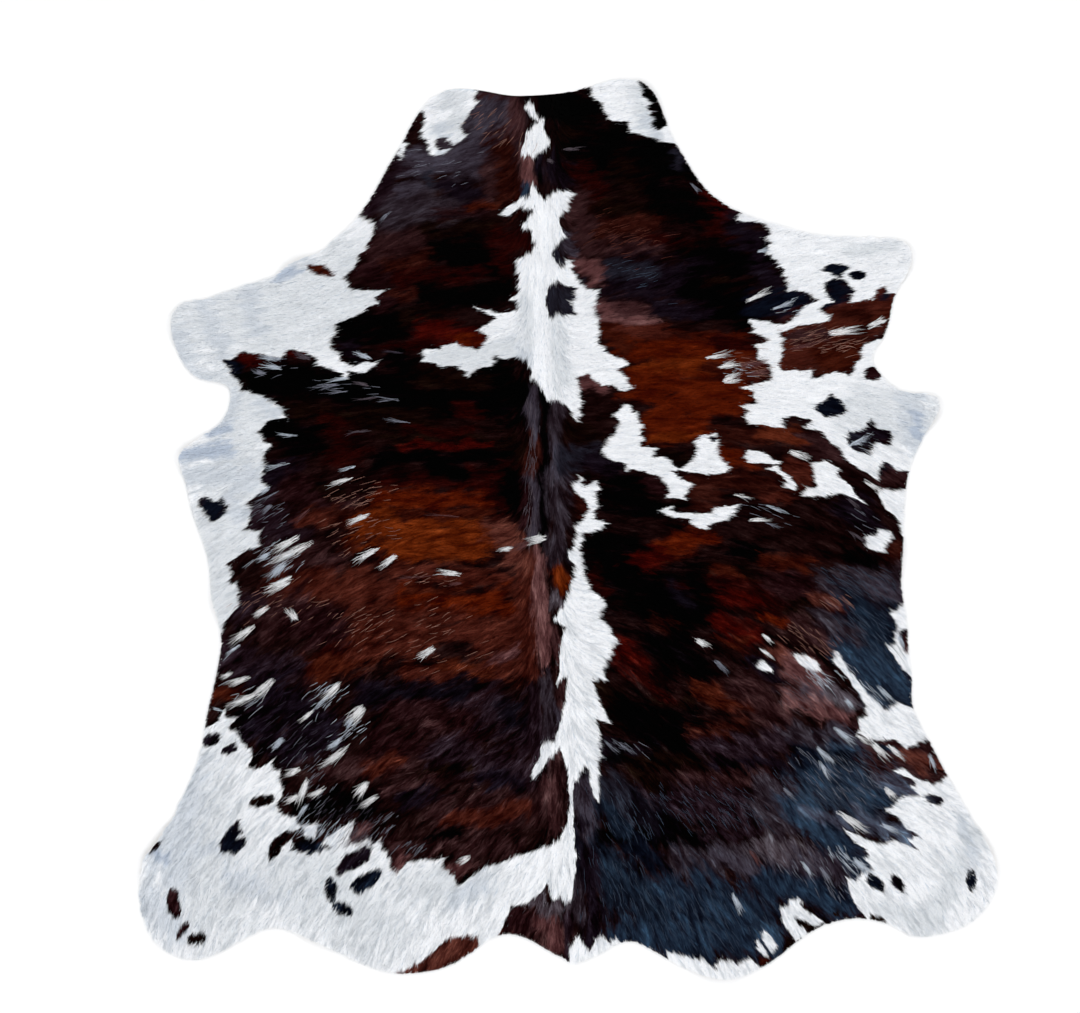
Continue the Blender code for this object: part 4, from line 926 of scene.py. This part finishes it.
# locks in rows over the leather, each with a ridge from root to tip
hair = {
    "spacing": 2.85 * mm,
    "rootInset": 3.5 * mm,  # how far inside the cut edge the last roots are
    "length": 18.0 * mm,
    "lengthSpread": 0.22,
    "shortest": 0.25,       # what the rim leaves of a lock's length, at least
    "width": 2.3 * mm,
    "widthSpread": 0.25,
    "widest": 0.42,         # where along a lock that width is
    "pile": 3.0 * mm,       # how high the tips lie over the leather
    "pileSpread": 0.20,
    "pileRange": (0.45, 1.7),
    "clumpLift": 0.20,      # share of the pile by which whole clumps stand higher or lower
    "liftClump": (2.6, 11.0),   # how wide and long such a clump is, in chart steps
    "clumpTurn": 9.0,       # degrees by which clumps part from the combing
    "turnClump": (3.0, 9.0),
    "lockTurn": 7.0,
    "droop": 0.35 * mm,     # how far a lock's sides lie under its ridge
    "overhang": 3.0 * mm,   # how far tips may pass the cut edge
    "body": 0.45,           # where along a lock its body takes its colour from, and its tip
    "tip": 0.82,
    "part": 0.33,           # the coat's six pieces part here before and behind the middle
    "seed": 17,
}


def cornersAndFaces(shape):
    # a finished shape as two tables, for the pieces that are joined from many copies of it
    corners = np.array([vert.co[:] for vert in shape.verts])
    shape.verts.index_update()
    faces = np.array([[vert.index for vert in face.verts] for face in shape.faces])
    shape.free()
    return corners, faces


def oneLock():
    # one long and one wide, from its root at the origin towards +Y
    shape = bmesh.new()
    outline = ((0, 0, 0), (0.5, hair["widest"], 0), (0, 1, 0), (-0.5, hair["widest"], 0))
    root, right, tip, left = (shape.verts.new(place) for place in outline)
    shape.faces.new((root, right, tip))
    shape.faces.new((root, tip, left))
    return cornersAndFaces(shape)


def hairRoots():
    dice = np.random.default_rng(hair["seed"])
    low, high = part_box("hide")
    step = hair["spacing"]
    x, y = np.meshgrid(np.arange(low[0], high[0], step), np.arange(low[1], high[1], step))
    x = x.ravel() + step * dice.uniform(-0.5, 0.5, x.size)
    y = y.ravel() + step * dice.uniform(-0.5, 0.5, y.size)
    inside = fromEdge.at(x, y) > hair["rootInset"]
    return x[inside], y[inside]


def lockRows():
    # every lock's root, run, size and colour
    dice = np.random.default_rng(hair["seed"] + 1)
    x, y = hairRoots()
    across, down = toChart(x, y)
    run = hairRun(across, down)
    life = liveliness(down)
    turn = radians(hair["clumpTurn"]) * streaks(across, down, run, hair["turnClump"], hair["seed"])
    turn = life * (turn + radians(hair["lockTurn"]) * dice.normal(size=x.size))
    run = np.stack([
        run[0] * np.cos(turn) - run[1] * np.sin(turn),
        run[0] * np.sin(turn) + run[1] * np.cos(turn),
    ])
    length = hair["length"] * np.exp(hair["lengthSpread"] * dice.normal(size=x.size))
    aheadX, aheadY = run[0], -run[1]
    for _ in range(3):  # locks at the rim are shorter, so that they end near the cut edge
        past = -fromEdge.at(x + aheadX * length, y + aheadY * length)
        spare = past - hair["overhang"] * dice.uniform(-0.3, 1.0, x.size)
        shorter = np.maximum(length - spare, hair["shortest"] * hair["length"])
        length = np.where(spare > 0.0, shorter, length)
    width = hair["width"] * np.exp(hair["widthSpread"] * dice.normal(size=x.size))
    lift = hair["pileSpread"] * dice.uniform(-1.0, 1.0, x.size)
    lift += hair["clumpLift"] * streaks(across, down, run, hair["liftClump"], hair["seed"] + 3)
    lift = hair["pile"] * np.clip(1.0 + life * lift, *hair["pileRange"])
    colours = []
    for share in (hair["body"], hair["tip"]):
        ahead = share * length / chartStep
        colours.append(coatColour(across + ahead * run[0], down + ahead * run[1], run))
    return x, y, aheadX, aheadY, length, width, lift, *colours


def joinedPiece(name, x, y, rise, faces, corners, colour):
    # one mesh of many copies of a few corners and faces, each copy with places and colours of its own
    count = len(x)
    places = np.stack([x, y, underside.at(x, y) + leather["thickness"] + rise], axis=2)
    joined = (faces[None] + len(corners) * np.arange(count)[:, None, None]).reshape(-1, 3)
    mesh = bpy.data.meshes.new(name)
    mesh.vertices.add(count * len(corners))
    mesh.vertices.foreach_set("co", places.ravel())
    mesh.loops.add(joined.size)
    mesh.loops.foreach_set("vertex_index", joined.ravel())
    mesh.polygons.add(len(joined))
    mesh.polygons.foreach_set("loop_start", np.arange(0, joined.size, 3))
    mesh.update(calc_edges=True)
    mesh.shade_smooth()
    piece = objectFrom(mesh)
    paint(piece, colour.reshape(-1, 3))
    # each copy has a small square of its own in the OFBake map
    side = int(np.ceil(np.sqrt(count)))
    cell = np.stack([np.arange(count) % side, np.arange(count) // side], axis=1)
    inCell = corners[:, :2] * 0.8 + (0.5, 0.1)
    flat = (cell[:, None, :] + inCell[None]) / side
    layer = mesh.uv_layers.new(name="OFBake")
    layer.data.foreach_set("uv", flat.reshape(-1, 2)[joined.ravel()].ravel().astype(np.float32))
    print(name, len(mesh.polygons), "triangles")
    return piece


def hairPiece(name, rows):
    x, y, aheadX, aheadY, length, width, lift, bodyColour, tipColour = rows
    corners, faces = oneLock()
    along = corners[None, :, 1] * length[:, None]
    aside = corners[None, :, 0] * width[:, None]
    placeX = x[:, None] + aheadX[:, None] * along + aheadY[:, None] * aside
    placeY = y[:, None] + aheadY[:, None] * along - aheadX[:, None] * aside
    rise = corners[None, :, 1] * lift[:, None] - np.abs(corners[None, :, 0]) * 2.0 * hair["droop"]
    colour = np.repeat(bodyColour[:, None, :], len(corners), axis=1)
    colour[:, corners[:, 1] == 1.0, :] = tipColour[:, None, :]
    # each lock's root corner gets the painted shade of the roots
    colour[:, corners[:, 1] == 0.0, :] *= paintedRootShade(bodyColour)[:, None, :]
    return joinedPiece(name, placeX, placeY, rise, faces, corners, colour)


locks = lockRows()
lockAcross, lockDown = toChart(locks[0], locks[1])
front, rear = locks[1] > hair["part"], locks[1] < -hair["part"]
leftSide = lockAcross < backboneAt(lockDown)
coats = []
for name, mine in (("Shoulder", front), ("Back", ~front & ~rear), ("Rump", rear)):
    coats.append(hairPiece("coat" + name + "Left", [values[mine & leftSide] for values in locks]))
    coats.append(hairPiece("coat" + name + "Right", [values[mine & ~leftSide] for values in locks]))

# long pale hairs that lie over the locks
longHair = {
    "length": 26.0 * mm,
    "lengthSpread": 0.30,
    "width": 0.75 * mm,
    "taper": 0.6,           # how much narrower it is at its tip
    "segments": 4,
    "curl": 4.0,            # degrees by which each segment turns from the one before
    "turn": 6.0,            # degrees by which a hair leaves the combing
    "lift": 1.0 * mm,       # how far its middle arches over the locks
    "rootLift": 0.35,       # share of the pile at which its root lies, and how fast it climbs
    "climb": 1.5,
    "brightness": (0.7, 1.05),
    "perFleck": 7.0,        # hairs to each step of a fleck's width
    "fleckRoots": (-0.02, 0.66),    # where along a fleck their roots are
    "fleckShare": (0.35, 0.8),  # their length as a share of the fleck's, and in chart steps
    "fleckLength": (3.0, 18.0),
    "fleckSway": 0.8,       # how much of the turn and curl those have
    "fleckFade": 1.35,      # how much their light falls off towards its tail
    "wispSpread": 0.55,     # how far a wisp's hairs stray from its line, in half widths
    "seed": 23,
}


def oneLongHair():
    # a strip from its root at the origin towards +Y, its two last corners drawn into a tip
    shape = bmesh.new()
    bmesh.ops.create_grid(shape, x_segments=1, y_segments=longHair["segments"], size=0.5)
    bmesh.ops.translate(shape, verts=shape.verts, vec=(0.0, 0.5, 0.0))
    tip = [vert for vert in shape.verts if vert.co.y > 0.99]
    bmesh.ops.pointmerge(shape, verts=tip, merge_co=(0.0, 1.0, 0.0))
    bmesh.ops.triangulate(shape, faces=shape.faces)
    return cornersAndFaces(shape)


def longHairRows():
    # every long hair's root, heading, length, colour and sway, in chart steps
    dice = np.random.default_rng(longHair["seed"])
    usual = longHair["length"] / chartStep
    rows = []
    for tone, x0, y0, x1, y1, width in paleFlecks:
        start, end = np.array([x0, y0], float), np.array([x1, y1], float)
        middle = 0.5 * (start + end)
        if hairRun(middle[:1], middle[1:])[:, 0] @ (end - start) < 0.0:
            start, end = end, start
        reach = np.linalg.norm(end - start)
        count = int(longHair["perFleck"] * width)
        heading = (end - start) / reach
        aside = np.array([-heading[1], heading[0]])
        along = dice.uniform(*longHair["fleckRoots"], (count, 1))
        half = 0.5 * width * np.sqrt(np.maximum(0.0, 1.0 - (1.7 * along - 0.8) ** 2))
        spot = start + along * reach * heading + half * dice.uniform(-1.0, 1.0, (count, 1)) * aside
        length = np.clip(reach * dice.uniform(*longHair["fleckShare"], count), *longHair["fleckLength"])
        fade = 1.0 - longHair["fleckFade"] * np.maximum(along, 0.0) * dice.random((count, 1))
        sway = np.full(count, longHair["fleckSway"])
        rows.append((spot, np.tile(heading, (count, 1)), length, light(tone) * fade, sway))
    for tone, x0, y0, x1, y1, width, thick in wispStrokes:
        start, end = np.array([x0, y0], float), np.array([x1, y1], float)
        reach = np.linalg.norm(end - start)
        count = int(thick * 2.0 * width * (reach + width) / 100.0)
        spot = start + dice.random((count, 1)) * (end - start)
        spot += dice.normal(0.0, longHair["wispSpread"] * width, (count, 2))
        length = usual * np.exp(longHair["lengthSpread"] * dice.normal(size=count))
        colour = np.tile(light(tone), (count, 1))
        rows.append((spot, hairRun(spot[:, 0], spot[:, 1]).T, length, colour, np.ones(count)))
    return [np.concatenate(part) for part in zip(*rows)]


def longHairPiece(name):
    places, headings, lengths, tones, sways = longHairRows()
    dice = np.random.default_rng(longHair["seed"] + 1)
    segments = longHair["segments"]
    angle = np.arctan2(-headings[:, 1], headings[:, 0])
    angle = angle + radians(longHair["turn"]) * sways * dice.normal(size=angle.size)
    curl = radians(longHair["curl"]) * sways * dice.normal(size=angle.size)
    pathX = [(places[:, 0] - chartMiddle[0]) * chartStep]
    pathY = [(chartMiddle[1] - places[:, 1]) * chartStep]
    angles = [angle]
    for _ in range(segments):
        pathX.append(pathX[-1] + np.cos(angles[-1]) * lengths * chartStep / segments)
        pathY.append(pathY[-1] + np.sin(angles[-1]) * lengths * chartStep / segments)
        angles.append(angles[-1] + curl)
    pathX, pathY, angles = [np.stack(part, axis=1) for part in (pathX, pathY, angles)]
    inside = (fromEdge.at(pathX, pathY) > leather["inset"]).all(axis=1)
    pathX, pathY, angles, tones = pathX[inside], pathY[inside], angles[inside], tones[inside]
    corners, faces = oneLongHair()
    along = corners[:, 1]
    row = np.round(along * segments).astype(int)
    aside = corners[:, 0] * longHair["width"] * (1.0 - longHair["taper"] * along ** 2)
    placeX = pathX[:, row] - np.sin(angles[:, row]) * aside
    placeY = pathY[:, row] + np.cos(angles[:, row]) * aside
    arch = hair["pile"] * np.minimum(1.0, longHair["rootLift"] + longHair["climb"] * along)
    arch = arch + longHair["lift"] * np.sin(pi * along)
    colour = tones * coat["brightness"] * dice.uniform(*longHair["brightness"], (len(tones), 1))
    colour = np.repeat(np.clip(colour, 0.0, 1.0)[:, None, :], len(corners), axis=1)
    return joinedPiece(name, placeX, placeY, arch, faces, corners, colour)


coats.append(longHairPiece("longPaleHairs"))

# grain, cloud and nap are the scales of noises, and the last two their detail as well. What two
# values of tint or matt bound is spread by the grain
finishes = {
    "glossyHair": {"grain": 420.0, "tint": (0.80, 1.20), "matt": (0.38, 0.60), "specular": 0.012},
    "hairRoots": {"grain": 600.0, "tint": (0.6, 1.3), "matt": 0.8, "specular": 0.0},
    "suedeBack": {
        "cloud": (7.0, 6.0), "darkSuede": (0.30, (0.40, 0.31, 0.22, 1.0)),
        "paleSuede": (0.72, (0.60, 0.50, 0.39, 1.0)), "nap": (500.0, 5.0), "napDepth": 0.4 * mm,
        "napStrength": 0.5, "matt": 0.92, "sheen": 0.25, "specular": 0.2,
    },
}


def newMaterial(name):
    material = bpy.data.materials.new(name)
    material.use_nodes = True
    nodes = material.node_tree.nodes
    return material, nodes, material.node_tree.links, nodes["Principled BSDF"]


def noise(nodes, links, scale, detail=2.0):
    places = nodes.new("ShaderNodeTexCoord")
    grain = nodes.new("ShaderNodeTexNoise")
    grain.inputs["Scale"].default_value = scale
    grain.inputs["Detail"].default_value = detail
    links.new(places.outputs["Object"], grain.inputs["Vector"])
    return grain.outputs["Fac"]


def spanned(nodes, links, value, span):
    depth = nodes.new("ShaderNodeMapRange")
    depth.inputs["To Min"].default_value, depth.inputs["To Max"].default_value = span
    links.new(value, depth.inputs["Value"])
    return depth.outputs["Result"]


def hairMaterial(name):
    # the coat's own colours, mottled by a fine grain
    finish = finishes[name]
    material, nodes, links, surface = newMaterial(name)
    grain = noise(nodes, links, finish["grain"])
    coatNode = nodes.new("ShaderNodeAttribute")
    coatNode.attribute_name = "coat"
    tint = nodes.new("ShaderNodeVectorMath")
    tint.operation = "SCALE"
    links.new(coatNode.outputs["Color"], tint.inputs[0])
    links.new(spanned(nodes, links, grain, finish["tint"]), tint.inputs["Scale"])
    links.new(tint.outputs["Vector"], surface.inputs["Base Color"])
    if isinstance(finish["matt"], tuple):
        links.new(spanned(nodes, links, grain, finish["matt"]), surface.inputs["Roughness"])
    else:
        surface.inputs["Roughness"].default_value = finish["matt"]
    surface.inputs["Specular IOR Level"].default_value = finish["specular"]
    return material


def suedeMaterial(name):
    finish = finishes[name]
    material, nodes, links, surface = newMaterial(name)
    ramp = nodes.new("ShaderNodeValToRGB")
    for stop, tone in zip(ramp.color_ramp.elements, ("darkSuede", "paleSuede")):
        stop.position, stop.color = finish[tone]
    links.new(noise(nodes, links, *finish["cloud"]), ramp.inputs["Fac"])
    links.new(ramp.outputs["Color"], surface.inputs["Base Color"])
    bump = nodes.new("ShaderNodeBump")
    bump.inputs["Strength"].default_value = finish["napStrength"]
    bump.inputs["Distance"].default_value = finish["napDepth"]
    links.new(noise(nodes, links, *finish["nap"]), bump.inputs["Height"])
    links.new(bump.outputs["Normal"], surface.inputs["Normal"])
    surface.inputs["Roughness"].default_value = finish["matt"]
    surface.inputs["Sheen Weight"].default_value = finish["sheen"]
    surface.inputs["Specular IOR Level"].default_value = finish["specular"]
    return material


sheet.data.materials.append(hairMaterial("hairRoots"))
sheet.data.materials.append(suedeMaterial("suedeBack"))
glossyHair = hairMaterial("glossyHair")
for piece in coats:
    piece.data.materials.append(glossyHair)
for piece in [sheet, *coats]:
    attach(piece, "root")
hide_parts("hide")

stage = {
    "floorSize": 40.0,
    "floorDrop": 0.2 * mm,
    "floorColour": (0.93, 0.93, 0.93, 1.0),
    "floorMatt": 0.9,
    "airColour": (0.97, 0.98, 1.0, 1.0),
    "airStrength": 0.55,
    "lamps": {"lampLeft": (-1, 0), "lampRight": (1, 0), "lampNeck": (0, 1), "lampTail": (0, -1)},
    "lampSize": 2.2,
    "lampPower": 40.0,
    "lampReach": 3.1,
    "lampHeight": 2.5,
    "lens": 50.0,
    "cameraHeight": 3.605,
    "photoMiddle": (540.0, 506.5),
}


def floorPlane():
    shape = bmesh.new()
    bmesh.ops.create_grid(shape, x_segments=1, y_segments=1, size=stage["floorSize"] / 2.0)
    bmesh.ops.translate(shape, verts=shape.verts, vec=(0.0, 0.0, -stage["floorDrop"]))
    mesh = bpy.data.meshes.new("floor")
    shape.to_mesh(mesh)
    shape.free()
    floor = objectFrom(mesh)
    material, *_, surface = newMaterial("paleFloor")
    surface.inputs["Base Color"].default_value = stage["floorColour"]
    surface.inputs["Roughness"].default_value = stage["floorMatt"]
    surface.inputs["Specular IOR Level"].default_value = 0.0
    floor.data.materials.append(material)


def lamps():
    for name, side in stage["lamps"].items():
        data = bpy.data.lights.new(name, "AREA")
        data.shape = "DISK"
        data.size = stage["lampSize"]
        data.energy = stage["lampPower"]
        lamp = bpy.data.objects.new(name, data)
        bpy.context.collection.objects.link(lamp)
        lamp.location = (*(part * stage["lampReach"] for part in side), stage["lampHeight"])
        lamp.rotation_euler = (-lamp.location).to_track_quat("-Z", "Y").to_euler()


def air():
    world = bpy.data.worlds.new("softAir")
    world.use_nodes = True
    background = world.node_tree.nodes["Background"]
    background.inputs["Color"].default_value = stage["airColour"]
    background.inputs["Strength"].default_value = stage["airStrength"]
    bpy.context.scene.world = world


def photoCamera():
    # straight down on the photograph's middle
    data = bpy.data.cameras.new("photoCamera")
    data.lens = stage["lens"]
    camera = bpy.data.objects.new("photoCamera", data)
    bpy.context.collection.objects.link(camera)
    across, down = stage["photoMiddle"]
    camera.location = (
        (across - chartMiddle[0]) * chartStep, (chartMiddle[1] - down) * chartStep, stage["cameraHeight"]
    )
    bpy.context.scene.camera = camera


floorPlane()
lamps()
air()
photoCamera()
bpy.context.scene.view_settings.view_transform = "Standard"
print("stage set")
